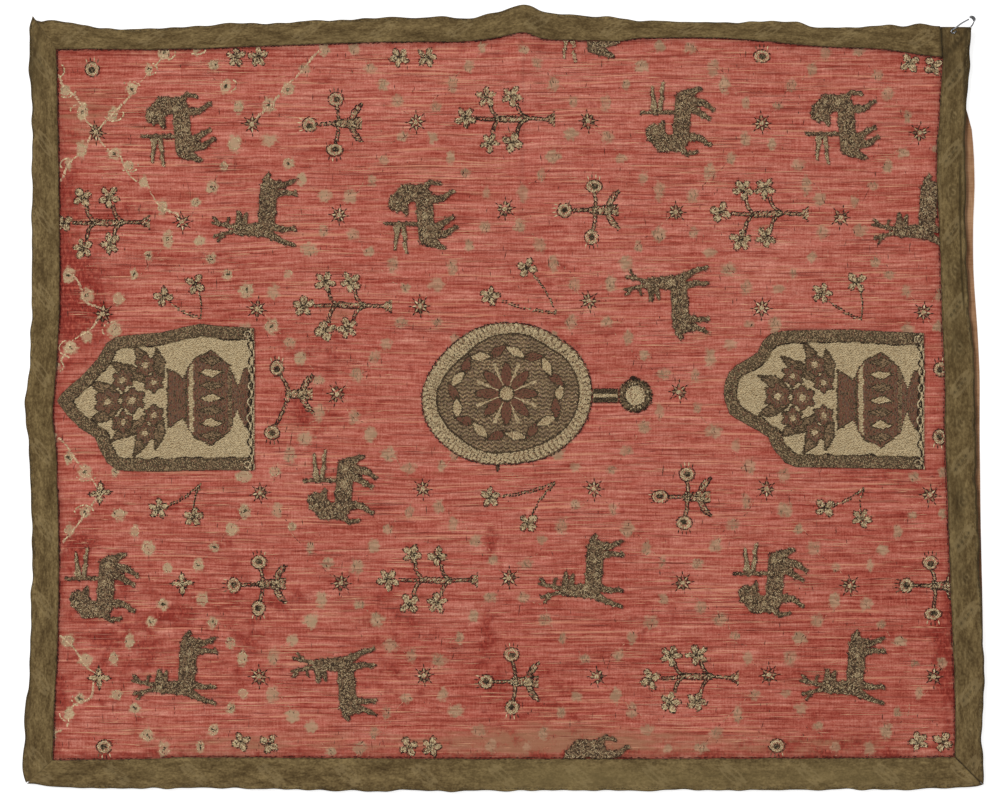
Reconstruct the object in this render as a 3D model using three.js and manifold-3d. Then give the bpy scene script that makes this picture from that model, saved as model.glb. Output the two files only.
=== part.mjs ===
// A worn red cloth hanging, laid out flat: ground panel, ribbon border, lining,
// applied panels and medallion, raised animals and a safety pin.
// Millimetres, +Z up, +X along the long side, origin under the middle of the cloth.
import * as THREE from "three";
import { mergeVertices } from "three/addons/utils/BufferGeometryUtils.js";
import Module from "manifold-3d";

const wasm = await Module();
wasm.setup();

// Driving sizes
const clearance = 0.3;
const liningThickness = 1.0;
const groundThickness = 1.4;
const ribbonThickness = 1.2;
const hemWidth = 5.0;
const hemEdgeDrop = 0.6;
const plateThickness = 0.8;
const bandHeight = 0.5;
const motifThickness = 0.8;
const liningTuck = 1.6;
const mitreShift = 0.22;
const flatBelow = 0.3;

// Heights of the layers above the surface, where the cloth lies flat
const groundBottom = liningThickness + clearance;
const groundTop = groundBottom + groundThickness;
const ribbonBottom = groundTop + clearance;
const ribbonTop = ribbonBottom + ribbonThickness;
const plateBottom = groundTop + clearance;

// Materials
const cloth = (color, roughness) => new THREE.MeshStandardMaterial({ color, roughness, metalness: 0 });
const materials = {
  ground: cloth(0xb04a45, 0.95),
  ribbon: cloth(0x645a37, 0.85),
  lining: cloth(0xbe7d55, 0.9),
  panel: cloth(0xb9a573, 0.85),
  medallion: cloth(0xa8986c, 0.85),
  animal: cloth(0x6b5f49, 0.9),
  steel: new THREE.MeshStandardMaterial({ color: 0xc8c8cc, roughness: 0.25, metalness: 1 }),
};

// The ribbon's outer edge, side by side, as it lies in the photograph.
// Each row is a place along the side and how far out the edge is there.
const topEdge = [
  { x: -377, y: 305.8 }, { x: -373.5, y: 301.2 }, { x: -364, y: 302.1 }, { x: -349, y: 301.5 },
  { x: -336, y: 298.2 }, { x: -301, y: 295.4 }, { x: -225, y: 299.4 }, { x: -173, y: 301 },
  { x: -122, y: 303.4 }, { x: -59, y: 305.3 }, { x: -24, y: 304.7 }, { x: -6, y: 309 },
  { x: 6, y: 312.5 }, { x: 17, y: 314.2 }, { x: 30, y: 310.4 }, { x: 53, y: 306.9 },
  { x: 90, y: 304.7 }, { x: 110, y: 302 }, { x: 190, y: 301.2 }, { x: 234, y: 301 },
  { x: 246, y: 297.2 }, { x: 317, y: 298.6 }, { x: 333, y: 299.7 }, { x: 345, y: 297.4 },
  { x: 374, y: 296.7 },
];
const bottomEdge = [
  { x: -382, y: -308 }, { x: -371, y: -309.9 }, { x: -352, y: -311 }, { x: -303, y: -312.8 },
  { x: -250, y: -311.8 }, { x: -122, y: -314.2 }, { x: -3, y: -314.2 }, { x: 317, y: -313.2 },
  { x: 353, y: -312.2 }, { x: 377, y: -311.1 }, { x: 384, y: -309.5 },
];
const leftEdge = [
  { y: -308, x: -382 }, { y: -292, x: -384.6 }, { y: -262, x: -383.2 }, { y: -241, x: -382.4 },
  { y: -230, x: -380 }, { y: -180, x: -379 }, { y: -124, x: -377.5 }, { y: -65, x: -379.5 },
  { y: -32, x: -381 }, { y: -17, x: -382.5 }, { y: -3, x: -382.8 }, { y: 14, x: -381 },
  { y: 42, x: -379 }, { y: 78, x: -378 }, { y: 166, x: -377.5 }, { y: 242, x: -378 },
  { y: 263, x: -380 }, { y: 288, x: -379 }, { y: 297, x: -379.5 }, { y: 306, x: -377 },
];
const rightEdge = [
  { y: -309.5, x: 383.5 }, { y: -293, x: 383.8 }, { y: -260, x: 382.5 }, { y: -232, x: 384.6 },
  { y: -180, x: 383 }, { y: -97, x: 379.5 }, { y: -44, x: 378 }, { y: 11, x: 377.5 },
  { y: 45, x: 375 }, { y: 78, x: 372.5 }, { y: 109, x: 370.5 }, { y: 154, x: 369.5 },
  { y: 232, x: 370 }, { y: 267, x: 372.5 }, { y: 297, x: 373.5 },
];

// The seam, where the ribbon's inner edge is sewn to the ground
const topSeam = [
  { x: -358, y: 279.5 }, { x: -260, y: 279.5 }, { x: -173, y: 282.6 }, { x: -97, y: 285 },
  { x: -37, y: 285.4 }, { x: -16, y: 287 }, { x: 5, y: 290.6 }, { x: 17, y: 292 },
  { x: 32, y: 287.6 }, { x: 58, y: 286.5 }, { x: 90, y: 286 }, { x: 109, y: 288 },
  { x: 175, y: 288.2 }, { x: 252, y: 281.8 }, { x: 303, y: 279.4 }, { x: 332, y: 275.3 },
  { x: 351, y: 272.7 },
];
const bottomSeam = [
  { x: -361, y: -289.4 }, { x: -303, y: -289 }, { x: -250, y: -287.4 }, { x: -148, y: -287.8 },
  { x: -3, y: -288.6 }, { x: 317, y: -287.8 }, { x: 361, y: -287 },
];
const leftSeam = [
  { y: -289, x: -361 }, { y: -241, x: -359.5 }, { y: -206, x: -357.5 }, { y: -129, x: -356 },
  { y: -40, x: -358.5 }, { y: -13, x: -361 }, { y: 7, x: -359.5 }, { y: 42, x: -357 },
  { y: 78, x: -355.5 }, { y: 166, x: -356 }, { y: 280, x: -358 },
];
const rightSeam = [
  { y: -289, x: 361 }, { y: -241, x: 361 }, { y: -155, x: 357.6 }, { y: -78, x: 355 },
  { y: -28, x: 353 }, { y: 17, x: 353 }, { y: 56, x: 351 }, { y: 120, x: 349 },
  { y: 187, x: 346.6 }, { y: 232, x: 349 }, { y: 273, x: 351 }, { y: 297, x: 349 },
];

// How far the lining shows past the ribbon's right edge; a minus sign tucks it under
const liningPast = [
  { y: -309, x: -1.6 }, { y: -215, x: -1.6 }, { y: -190, x: 0.4 }, { y: -97, x: 2.6 },
  { y: -56, x: 3.4 }, { y: 0, x: 3.6 }, { y: 50, x: 5.2 }, { y: 98, x: 5.4 },
  { y: 137, x: 6.2 }, { y: 176, x: 7.6 }, { y: 218, x: 4.8 }, { y: 238, x: -1.6 },
  { y: 297, x: -1.6 },
];

// Where the cloth is off the surface: the crease below the top point, the waves of the
// top edge, and the corners and sides that stand up a little.
const folds = [
  { x: 17, y: 330, halfX: 13, halfY: 78, height: 6.2 },
  { x: -60, y: 306, halfX: 46, halfY: 20, height: 2.0 },
  { x: 104, y: 309, halfX: 32, halfY: 15, height: 2.4 },
  { x: 226, y: 301, halfX: 24, halfY: 20, height: 2.2 },
  { x: -152, y: 303, halfX: 30, halfY: 16, height: 1.2 },
  { x: -370, y: 304, halfX: 20, halfY: 18, height: 3.4 },
  { x: 333, y: 300, halfX: 18, halfY: 16, height: 2.0 },
  { x: 372, y: 298, halfX: 26, halfY: 22, height: 3.2 },
  { x: -384, y: -8, halfX: 16, halfY: 38, height: 2.0 },
  { x: -384, y: -252, halfX: 16, halfY: 42, height: 1.8 },
  { x: 370, y: 168, halfX: 16, halfY: 70, height: 1.8 },
  { x: 384, y: -222, halfX: 16, halfY: 48, height: 1.6 },
];

// Lines of the common grid between the seams, closer together at the folds
const columnStops = [
  -336, -301, -240, -173, -122, -59, -24, -6, 6, 17, 30, 53, 90, 112, 175, 234, 248, 300, 333,
];
const rowStops = [-258, -236, -190, -124, -60, -34, -8, 16, 45, 84, 136, 190, 228, 258];

// A smooth function through the rows of a table, flat past its ends
function through(rows, along, out) {
  const slope = (i) => {
    const before = rows[Math.max(i - 1, 0)];
    const after = rows[Math.min(i + 1, rows.length - 1)];
    return (after[out] - before[out]) / (after[along] - before[along]);
  };
  return (t) => {
    const last = rows.length - 1;
    if (t <= rows[0][along]) return rows[0][out];
    if (t >= rows[last][along]) return rows[last][out];
    const i = rows.findIndex((row) => row[along] > t) - 1;
    const span = rows[i + 1][along] - rows[i][along];
    const s = (t - rows[i][along]) / span;
    const start = (1 + 2 * s) * (1 - s) ** 2 * rows[i][out] + s * (1 - s) ** 2 * span * slope(i);
    const end = s * s * (3 - 2 * s) * rows[i + 1][out] - s * s * (1 - s) * span * slope(i + 1);
    return start + end;
  };
}

const topAt = through(topEdge, "x", "y");
const bottomAt = through(bottomEdge, "x", "y");
const leftAt = through(leftEdge, "y", "x");
const rightAt = through(rightEdge, "y", "x");
const topSeamAt = through(topSeam, "x", "y");
const bottomSeamAt = through(bottomSeam, "x", "y");
const leftSeamAt = through(leftSeam, "y", "x");
const rightSeamAt = through(rightSeam, "y", "x");
const liningPastAt = through(liningPast, "y", "x");

function lift(x, y) {
  let sum = 0;
  for (const fold of folds) {
    const across = ((x - fold.x) / fold.halfX) ** 2;
    const along = ((y - fold.y) / fold.halfY) ** 2;
    sum += fold.height * Math.exp(-across - along);
  }
  return Math.max(0, sum - flatBelow);
}

// The common grid. Columns and rows 0, 1 and 2 from each side are the ribbon's outer
// edge, its hem line and its seam, so that every layer shares the same points.
const columns = columnStops.length + 6;
const rows = rowStops.length + 6;
const columnLines = [
  { nominal: -380, at: leftAt },
  { nominal: -375, at: (y) => leftAt(y) + hemWidth },
  { nominal: -358, at: leftSeamAt },
  ...columnStops.map((stop) => ({ nominal: stop, at: () => stop })),
  { nominal: 353, at: rightSeamAt },
  { nominal: 372, at: (y) => rightAt(y) - hemWidth },
  { nominal: 377, at: rightAt },
];
const rowLines = [
  { nominal: -308, at: bottomAt },
  { nominal: -303, at: (x) => bottomAt(x) + hemWidth },
  { nominal: -289, at: bottomSeamAt },
  ...rowStops.map((stop) => ({ nominal: stop, at: () => stop })),
  { nominal: 284, at: topSeamAt },
  { nominal: 297, at: (x) => topAt(x) - hemWidth },
  { nominal: 303, at: topAt },
];

function gridPoint(i, j) {
  let x = columnLines[i].at(rowLines[j].nominal);
  const y = rowLines[j].at(x);
  x = columnLines[i].at(y);
  return { x, y };
}

// A closed solid over a flat mesh of points: bottom and top height at each point, and a
// wall along every edge that only one triangle uses.
function sheetSolid(points, triangles) {
  const positions = [];
  const indices = [];
  const count = points.length;
  for (const level of ["bottom", "top"]) {
    for (const point of points) {
      positions.push(point.x, point.y, point[level]);
    }
  }
  const open = new Map();
  for (const [a, b, c] of triangles) {
    indices.push(a, c, b, a + count, b + count, c + count);
    for (const [from, to] of [[a, b], [b, c], [c, a]]) {
      if (!open.delete(`${to} ${from}`)) open.set(`${from} ${to}`, [from, to]);
    }
  }
  for (const [from, to] of open.values()) {
    indices.push(from, to, to + count, from, to + count, from + count);
  }
  const geometry = new THREE.BufferGeometry();
  geometry.setAttribute("position", new THREE.Float32BufferAttribute(positions, 3));
  geometry.setIndex(indices);
  return mergeVertices(geometry.toNonIndexed());
}

// One layer of cloth made of whole and half cells of the common grid
function layer(cells, heights, place = gridPoint) {
  const points = [];
  const numbers = new Map();
  const number = (i, j) => {
    const key = `${i} ${j}`;
    if (!numbers.has(key)) {
      const spot = place(i, j);
      const up = lift(spot.x, spot.y);
      const { bottom, top } = heights(i, j);
      numbers.set(key, points.length);
      points.push({ x: spot.x, y: spot.y, bottom: bottom + up, top: top + up });
    }
    return numbers.get(key);
  };
  const triangles = [];
  for (const { i, j, part } of cells) {
    const a = number(i, j);
    const b = number(i + 1, j);
    const c = number(i + 1, j + 1);
    const d = number(i, j + 1);
    if (part === "below rising") triangles.push([a, b, c]);
    else if (part === "above rising") triangles.push([a, c, d]);
    else if (part === "below falling") triangles.push([a, b, d]);
    else if (part === "above falling") triangles.push([b, c, d]);
    else if ((i + j) % 2 === 0) triangles.push([a, b, c], [a, c, d]);
    else triangles.push([a, b, d], [b, c, d]);
  }
  const used = new Set(triangles.flat());
  const kept = points.filter((point, index) => used.has(index));
  const renumbered = new Map();
  points.forEach((point, index) => {
    if (used.has(index)) renumbered.set(index, renumbered.size);
  });
  return sheetSolid(kept, triangles.map((corners) => corners.map((corner) => renumbered.get(corner))));
}

function block(fromColumn, toColumn, fromRow, toRow) {
  const cells = [];
  for (let i = fromColumn; i < toColumn; i++) {
    for (let j = fromRow; j < toRow; j++) {
      cells.push({ i, j });
    }
  }
  return cells;
}

function makeGround() {
  const heights = () => ({ bottom: groundBottom, top: groundTop });
  return layer(block(1, columns - 2, 1, rows - 2), heights);
}

// The lining reaches the hem on three sides and shows past the ribbon on the right
function makeLining() {
  const heights = () => ({ bottom: 0, top: liningThickness });
  const place = (i, j) => {
    const spot = gridPoint(i, j);
    if (i === 0) spot.x += liningTuck;
    if (i === columns - 1) spot.x += liningPastAt(spot.y);
    if (j === 0) spot.y += liningTuck;
    if (j === rows - 1) spot.y -= liningTuck;
    return spot;
  };
  return layer(block(0, columns - 1, 0, rows - 1), heights, place);
}

// The ribbon's underside comes down past the ground's cut edge at the hem
function ribbonHeights(i, j) {
  const edge = i === 0 || j === 0 || i === columns - 1 || j === rows - 1;
  return edge
    ? { bottom: groundBottom, top: ribbonTop - hemEdgeDrop }
    : { bottom: ribbonBottom, top: ribbonTop };
}

// A mitred corner is cut along the diagonal of its four cells. The upright strip takes what
// lies nearer its own side, and the level strip takes the rest.
function mitre(cells, corner, upright) {
  const half = corner.top === upright ? "below" : "above";
  const diagonal = corner.right === corner.top ? "rising" : "falling";
  for (const fromSide of [0, 1]) {
    for (const fromEnd of [0, 1]) {
      const i = corner.right ? columns - 2 - fromSide : fromSide;
      const j = corner.top ? rows - 2 - fromEnd : fromEnd;
      if (fromSide === fromEnd) cells.push({ i, j, part: `${half} ${diagonal}` });
      else if (upright === fromSide < fromEnd) cells.push({ i, j });
    }
  }
}

const onMitre = (i, j) => {
  const fromSide = Math.min(i, columns - 1 - i);
  const fromEnd = Math.min(j, rows - 1 - j);
  return fromSide === fromEnd && fromSide <= 2;
};
const atButt = (i, j) => i === columns - 3 && j >= rows - 3;

function makeRibbon(side) {
  const cells = [];
  const corners = {
    left: [{ right: false, top: false }, { right: false, top: true }],
    right: [{ right: true, top: false }],
    top: [{ right: false, top: true }],
    bottom: [{ right: false, top: false }, { right: true, top: false }],
  }[side];
  if (side === "left") cells.push(...block(0, 2, 2, rows - 3));
  if (side === "right") cells.push(...block(columns - 3, columns - 1, 2, rows - 1));
  if (side === "top") cells.push(...block(2, columns - 3, rows - 3, rows - 1));
  if (side === "bottom") cells.push(...block(2, columns - 3, 0, 2));
  for (const corner of corners) {
    mitre(cells, corner, side === "left" || side === "right");
  }
  const place = (i, j) => {
    const spot = gridPoint(i, j);
    if (side === "top" && atButt(i, j)) {
      spot.x -= clearance;
    } else if (onMitre(i, j) && !(side === "right" && j > 2)) {
      if (side === "left" || side === "right") spot.y -= Math.sign(spot.y) * mitreShift;
      else spot.x -= Math.sign(spot.x) * mitreShift;
    }
    return spot;
  };
  return layer(cells, ribbonHeights, place);
}

// From a three.js geometry to a solid that can be joined, and back
function solidOf(geometry) {
  const bare = geometry.clone();
  bare.deleteAttribute("normal");
  bare.deleteAttribute("uv");
  const merged = mergeVertices(bare, 1e-4);
  return new wasm.Manifold(new wasm.Mesh({
    numProp: 3,
    vertProperties: new Float32Array(merged.attributes.position.array),
    triVerts: new Uint32Array(merged.index.array),
  }));
}

function geometryOf(solid) {
  const mesh = solid.getMesh();
  const geometry = new THREE.BufferGeometry();
  geometry.setAttribute("position", new THREE.BufferAttribute(mesh.vertProperties, 3));
  geometry.setIndex(new THREE.BufferAttribute(mesh.triVerts, 1));
  return geometry;
}

function extrude(shape, depth, bottom, curveSegments = 6) {
  const geometry = new THREE.ExtrudeGeometry(shape, { depth, bevelEnabled: false, curveSegments });
  return geometry.translate(0, 0, bottom);
}

// The two applied arched panels, drawn upright with the foot at v 0: each row is a height
// and how far the panel reaches to both sides there. They lean to opposite sides.
const bandWidth = 9.6;
const panels = {
  left: {
    x: -200, y: 0.3,
    edge: [
      { v: 0, low: -57.7, high: 55.5 }, { v: 31, low: -57.3, high: 57.5 }, { v: 43, low: -57.7, high: 59 },
      { v: 55, low: -57.7, high: 56.7 }, { v: 74, low: -58.5, high: 52 }, { v: 104, low: -58, high: 49.5 },
      { v: 110.3, low: -56.9, high: 48.3 }, { v: 117.5, low: -51.3, high: 43.9 },
      { v: 123, low: -41.7, high: 34.3 }, { v: 126.8, low: -31.5, high: 28.7 },
      { v: 139, low: -24, high: 15.9 }, { v: 148.7, low: -14.5, high: 7.9 }, { v: 155, low: -6, high: 1.4 },
      { v: 156.8, low: -3, high: -2 },
    ],
  },
  right: {
    x: 336, y: -1.4,
    edge: [
      { v: 0, low: -55, high: 53.2 }, { v: 15.9, low: -54.8, high: 53.8 }, { v: 57.5, low: -54, high: 56 },
      { v: 102.3, low: -53.2, high: 55.6 }, { v: 110.5, low: -49.8, high: 55.2 },
      { v: 120.3, low: -38.7, high: 53.6 }, { v: 124.4, low: -29.2, high: 50.8 },
      { v: 128.7, low: -26.8, high: 46.4 }, { v: 132.7, low: -24, high: 38 },
      { v: 141.5, low: -19.2, high: 32 }, { v: 150, low: -14.5, high: 27.4 }, { v: 155, low: -10.8, high: 22.5 },
      { v: 158.6, low: -1, high: 14.4 }, { v: 159.5, low: 4.5, high: 8.5 },
    ],
  },
};

// A flat shape from edge rows, with its foot carried down to the given height
function archSection(edge, foot) {
  const rows = [{ ...edge[0], v: foot }, ...edge.slice(1)];
  const up = rows.map(({ v, high }) => [high, v]);
  const down = rows.map(({ v, low }) => [low, v]).reverse();
  return new wasm.CrossSection([[...up, ...down]]);
}

// A plate with a raised band up both sides and round the arch
function makeArchPanel(edge) {
  const outline = archSection(edge, 0);
  const within = archSection(edge, -2 * bandWidth).offset(-bandWidth, "Miter");
  const band = outline.subtract(within).extrude(plateThickness + bandHeight);
  return geometryOf(outline.extrude(plateThickness).add(band).translate([0, 0, plateBottom]));
}

// The medallion's reach and its rope's width every 15 degrees, anticlockwise from the right
const medallion = {
  reach: [
    68, 67.2, 64.8, 60.4, 58.4, 56.8, 56, 56.4, 56.8, 57.6, 59.6, 63.2,
    67.2, 68, 66, 63.2, 60.4, 57.6, 55.6, 56.4, 59.2, 61.6, 64.8, 67.2,
  ],
  rope: [
    9.2, 9.2, 9.3, 9.6, 8.6, 7.2, 7.6, 8.8, 10.4, 12, 11.6, 11.2,
    10.8, 11, 11.2, 11.2, 9.4, 8, 8, 9, 10.4, 10, 9.6, 9.3,
  ],
};
const roundel = { reach: [12.8], rope: [4.6] };

function around(values, turn) {
  const at = (turn / (2 * Math.PI)) * values.length;
  const k = Math.floor(at);
  return THREE.MathUtils.lerp(values[k % values.length], values[(k + 1) % values.length], at - k);
}

// A turned plate with a raised rope ring. On the profile 1 is the rope's inner edge and 2
// its outer edge; each point is then moved out to where they lie at its turn.
function makeRing({ reach, rope }, segments) {
  const top = plateThickness;
  const crown = plateThickness + bandHeight * 1.4;
  const profile = [[0, 0], [2, 0], [2, top * 0.6], [1.5, crown], [1, top], [0, top]];
  const geometry = new THREE.LatheGeometry(profile.map(([r, z]) => new THREE.Vector2(r, z)), segments);
  geometry.rotateX(Math.PI / 2);
  const position = geometry.attributes.position;
  for (let k = 0; k < position.count; k++) {
    const [x, y] = [position.getX(k), position.getY(k)];
    const turn = (Math.atan2(y, x) + 2 * Math.PI) % (2 * Math.PI);
    const far = Math.hypot(x, y);
    const inner = around(reach, turn) - around(rope, turn);
    const radius = far <= 1 ? far * inner : inner + (far - 1) * around(rope, turn);
    position.setX(k, radius * Math.cos(turn));
    position.setY(k, radius * Math.sin(turn));
  }
  return geometryOf(solidOf(geometry.translate(0, 0, plateBottom)));
}

// Two bars side by side on a narrow plate join the medallion to its roundel
const link = { length: 20, width: 10.4, barWidth: 2.8 };

function makeLink() {
  const box = (width, y, height) => {
    const geometry = new THREE.BoxGeometry(link.length, width, height);
    return solidOf(geometry.translate(0, y, plateBottom + height / 2));
  };
  const barOffset = (link.width - link.barWidth) / 2;
  const bars = [-barOffset, barOffset].map((y) => box(link.barWidth, y, plateThickness + bandHeight));
  return geometryOf(box(link.width, 0, plateThickness).add(bars[0]).add(bars[1]));
}

// Animals, drawn upright in their own frame: u along the body and v up. Each is a few
// strokes, and a stroke runs through its places with the half width r at each.
const lionStrokes = {
  trunk: [{ u: -19, v: -4, r: 6.2 }, { u: 14, v: -2, r: 6.6 }],
  mane: [{ u: 17, v: 0, r: 6.2 }, { u: 16.5, v: 12, r: 7.4 }, { u: 9, v: 19, r: 7.2 }],
  face: [{ u: 9, v: 16, r: 5 }, { u: 0.5, v: 12, r: 1.6 }],
  raisedLeg: [{ u: 20, v: -2, r: 2.8 }, { u: 25.5, v: -6.5, r: 1.9 }, { u: 24, v: -15, r: 1.2 }],
  foreleg: [{ u: 12, v: -6, r: 3.6 }, { u: 12, v: -16, r: 2.2 }, { u: 18.5, v: -25.5, r: 1.4 }],
  farHindLeg: [{ u: -22, v: -6, r: 4 }, { u: -27, v: -18, r: 1.5 }],
  hindLeg: [{ u: -16, v: -8, r: 4.6 }, { u: -16, v: -19, r: 2.6 }, { u: -10.5, v: -27.5, r: 1.5 }],
  nearHindLeg: [{ u: -12, v: -9, r: 3.4 }, { u: -3, v: -24.5, r: 1.5 }],
  tail: [{ u: -8, v: 0, r: 1.6 }, { u: -7.5, v: 29, r: 0.9 }],
  upperTuft: [{ u: -9, v: 19, r: 2.4 }, { u: -28, v: 21, r: 0.8 }],
  lowerTuft: [{ u: -9, v: 14.5, r: 1.8 }, { u: -31, v: 12, r: 0.8 }],
};
const stagStrokes = {
  trunk: [{ u: -14, v: -9, r: 6.4 }, { u: 20, v: -11.5, r: 6.8 }],
  neck: [{ u: -14, v: -4, r: 5.6 }, { u: -14, v: 10, r: 4.2 }],
  face: [{ u: -14, v: 13, r: 3.8 }, { u: 0, v: 12.5, r: 1.3 }],
  jaw: [{ u: -12, v: 9, r: 2.6 }, { u: -1, v: 6.5, r: 1.2 }],
  farAntler: [{ u: -15, v: 15, r: 1.5 }, { u: -19, v: 32, r: 1.1 }],
  farTine: [{ u: -17.8, v: 26, r: 1.1 }, { u: -23, v: 29, r: 0.9 }],
  nearAntler: [{ u: -12, v: 15, r: 1.5 }, { u: -8.5, v: 34, r: 1.1 }],
  lowTine: [{ u: -10.5, v: 22, r: 1.1 }, { u: -5, v: 21, r: 0.9 }],
  highTine: [{ u: -9.2, v: 29, r: 1.1 }, { u: -4.5, v: 32, r: 0.9 }],
  farForeleg: [{ u: -17, v: -11, r: 3.6 }, { u: -23, v: -21, r: 2 }, { u: -26.5, v: -32, r: 1.4 }],
  foreleg: [{ u: -11, v: -12, r: 3.4 }, { u: -13.5, v: -22, r: 2 }, { u: -13.5, v: -32, r: 1.4 }],
  farHindLeg: [{ u: 15, v: -15, r: 3.4 }, { u: 15.5, v: -24, r: 2 }, { u: 15, v: -33, r: 1.4 }],
  hindLeg: [{ u: 22, v: -13, r: 4.2 }, { u: 21.5, v: -23, r: 2.2 }, { u: 25.5, v: -32, r: 1.4 }],
  tail: [{ u: 25, v: -8, r: 2.2 }, { u: 30, v: -11.5, r: 1.4 }],
};

// The outline of a stroke: its two sides, and round ends of one or three points
const thickStroke = 3;

function strokeShape(places) {
  const last = places.length - 1;
  const sides = places.map(({ u, v, r }, k) => {
    const before = places[Math.max(k - 1, 0)];
    const after = places[Math.min(k + 1, last)];
    return { u, v, r, heading: Math.atan2(after.v - before.v, after.u - before.u) };
  });
  const around = ({ u, v, r, heading }, turn) => {
    return new THREE.Vector2(u + r * Math.cos(heading + turn), v + r * Math.sin(heading + turn));
  };
  const end = (side, from) => {
    const steps = side.r > thickStroke ? [1, 2, 3] : [2];
    return steps.map((step) => around(side, from + (step * Math.PI) / 4));
  };
  return new THREE.Shape([
    ...sides.map((side) => around(side, -Math.PI / 2)),
    ...end(sides[last], -Math.PI / 2),
    ...sides.map((side) => around(side, Math.PI / 2)).reverse(),
    ...end(sides[0], Math.PI / 2),
  ]);
}

function makeAnimal(strokes) {
  return Object.values(strokes)
    .map((places) => solidOf(extrude(strokeShape(places), motifThickness, plateBottom, 1)))
    .reduce((whole, solid) => whole.add(solid));
}

// An animal's own up is the cloth's left; flip turns it to face the other way
function placeMotif(solid, { x, y, flip }) {
  const turned = flip ? solid.mirror([1, 0, 0]) : solid;
  return turned.rotate([0, 0, 90]).translate([x, y, 0]);
}

// A motif that runs under the ribbon is cut off just inside the seam, and the largest
// piece that is left of it is kept
const seamGap = 0.5;

function cutAtSeams(solid) {
  const [lastColumn, lastRow] = [columns - 3, rows - 3];
  const loop = [];
  for (let i = 2; i < lastColumn; i++) loop.push([i, 2]);
  for (let j = 2; j < lastRow; j++) loop.push([lastColumn, j]);
  for (let i = lastColumn; i > 2; i--) loop.push([i, lastRow]);
  for (let j = lastRow; j > 2; j--) loop.push([2, j]);
  const points = loop.map(([i, j]) => {
    const spot = gridPoint(i, j);
    const atSide = i === 2 || i === lastColumn;
    const atEnd = j === 2 || j === lastRow;
    const x = spot.x - (atSide ? Math.sign(spot.x) * seamGap : 0);
    const y = spot.y - (atEnd ? Math.sign(spot.y) * seamGap : 0);
    return new THREE.Vector2(x, y);
  });
  const left = solid.intersect(solidOf(extrude(new THREE.Shape(points), 10, 0, 1))).decompose();
  return left.reduce((largest, piece) => (piece.volume() > largest.volume() ? piece : largest));
}

// What lies on a lifted part of the cloth is lifted with it
function drape(geometry) {
  const position = geometry.attributes.position;
  for (let k = 0; k < position.count; k++) {
    position.setZ(k, position.getZ(k) + lift(position.getX(k), position.getY(k)));
  }
  return geometry;
}

const lions = [
  { x: -260.5, y: 217.5, flip: false },
  { x: 271.5, y: 219.5, flip: false },
  { x: -66, y: 147.5, flip: false },
  { x: 69, y: 301, flip: false, cut: true },
  { x: 74, y: -297, flip: false, cut: true },
  { x: 139.5, y: 221, flip: true },
  { x: -131, y: -73.5, flip: true },
  { x: -321.5, y: -152, flip: true },
  { x: 214, y: -148, flip: true },
];
const stags = [
  { x: -199.5, y: 149, flip: false },
  { x: 329, y: 147.5, flip: false, cut: true },
  { x: 62, y: -140, flip: false },
  { x: -263.5, y: -217.5, flip: false },
  { x: 271.5, y: -217.5, flip: false },
  { x: 130.5, y: 78.5, flip: true },
  { x: -136, y: -227, flip: true },
];

// The safety pin: a coil on the ribbon, the front arm over the cloth's edge to the cap,
// and the needle down through the ribbon, out below the edge and up to the cap.
const pin = { wire: 0.8, coilX: 358.8, coilY: 293.6, capX: 373.6, capY: 303, hole: 2.2 };

function makePinWire() {
  const onTop = ribbonTop + lift(pin.coilX, pin.coilY) + clearance + pin.wire / 2;
  const under = clearance + pin.wire / 2;
  const stations = [
    { x: pin.capX - 2.2, y: pin.capY - 0.2, z: onTop + 0.2 },
    { x: pin.coilX + 6, y: pin.coilY + 5.4, z: onTop + 0.4 },
    { x: pin.coilX + 1.6, y: pin.coilY + 2, z: onTop + 0.1 },
    { x: pin.coilX - 0.8, y: pin.coilY + 0.6, z: onTop },
    { x: pin.coilX - 1.3, y: pin.coilY - 1, z: onTop },
    { x: pin.coilX, y: pin.coilY - 2, z: onTop },
    { x: pin.coilX + 1.4, y: pin.coilY - 1.1, z: onTop + 0.2 },
    { x: pin.coilX + 2.4, y: pin.coilY - 0.2, z: onTop - 0.4 },
    { x: pin.coilX + 3, y: pin.coilY, z: onTop - 1.8 },
    { x: pin.coilX + 3.2, y: pin.coilY + 0.1, z: onTop - 3.4 },
    { x: pin.coilX + 3.8, y: pin.coilY + 0.3, z: under + 0.5 },
    { x: pin.coilX + 7.4, y: pin.coilY + 0.9, z: under },
    { x: pin.coilX + 12.2, y: pin.coilY + 2, z: under },
    { x: pin.coilX + 15.8, y: pin.coilY + 4.6, z: under + 1 },
    { x: pin.capX + 2, y: pin.capY - 2.6, z: onTop - 1.6 },
  ].map(({ x, y, z }) => new THREE.Vector3(x, y, z));
  const section = new THREE.Shape().absarc(0, 0, pin.wire / 2, 0, 2 * Math.PI);
  const path = new THREE.CatmullRomCurve3(stations, false, "centripetal");
  const geometry = new THREE.ExtrudeGeometry(section, { extrudePath: path, steps: 44, curveSegments: 3 });
  return geometryOf(solidOf(geometry));
}

function makePinCap() {
  const onTop = ribbonTop + lift(pin.coilX, pin.coilY) + clearance + pin.wire / 2;
  const shape = new THREE.Shape();
  shape.moveTo(-1.6, 1.5);
  shape.quadraticCurveTo(0.8, 2.6, 2.4, 0.6);
  shape.quadraticCurveTo(3.2, -1.2, 1.6, -2.4);
  shape.lineTo(0.9, -1.3);
  shape.quadraticCurveTo(0.2, 0.3, -1.6, 0.4);
  shape.closePath();
  const geometry = extrude(shape, 1.8, 0, 4).translate(pin.capX, pin.capY + 0.4, onTop - 0.9);
  return geometryOf(solidOf(geometry));
}

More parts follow.
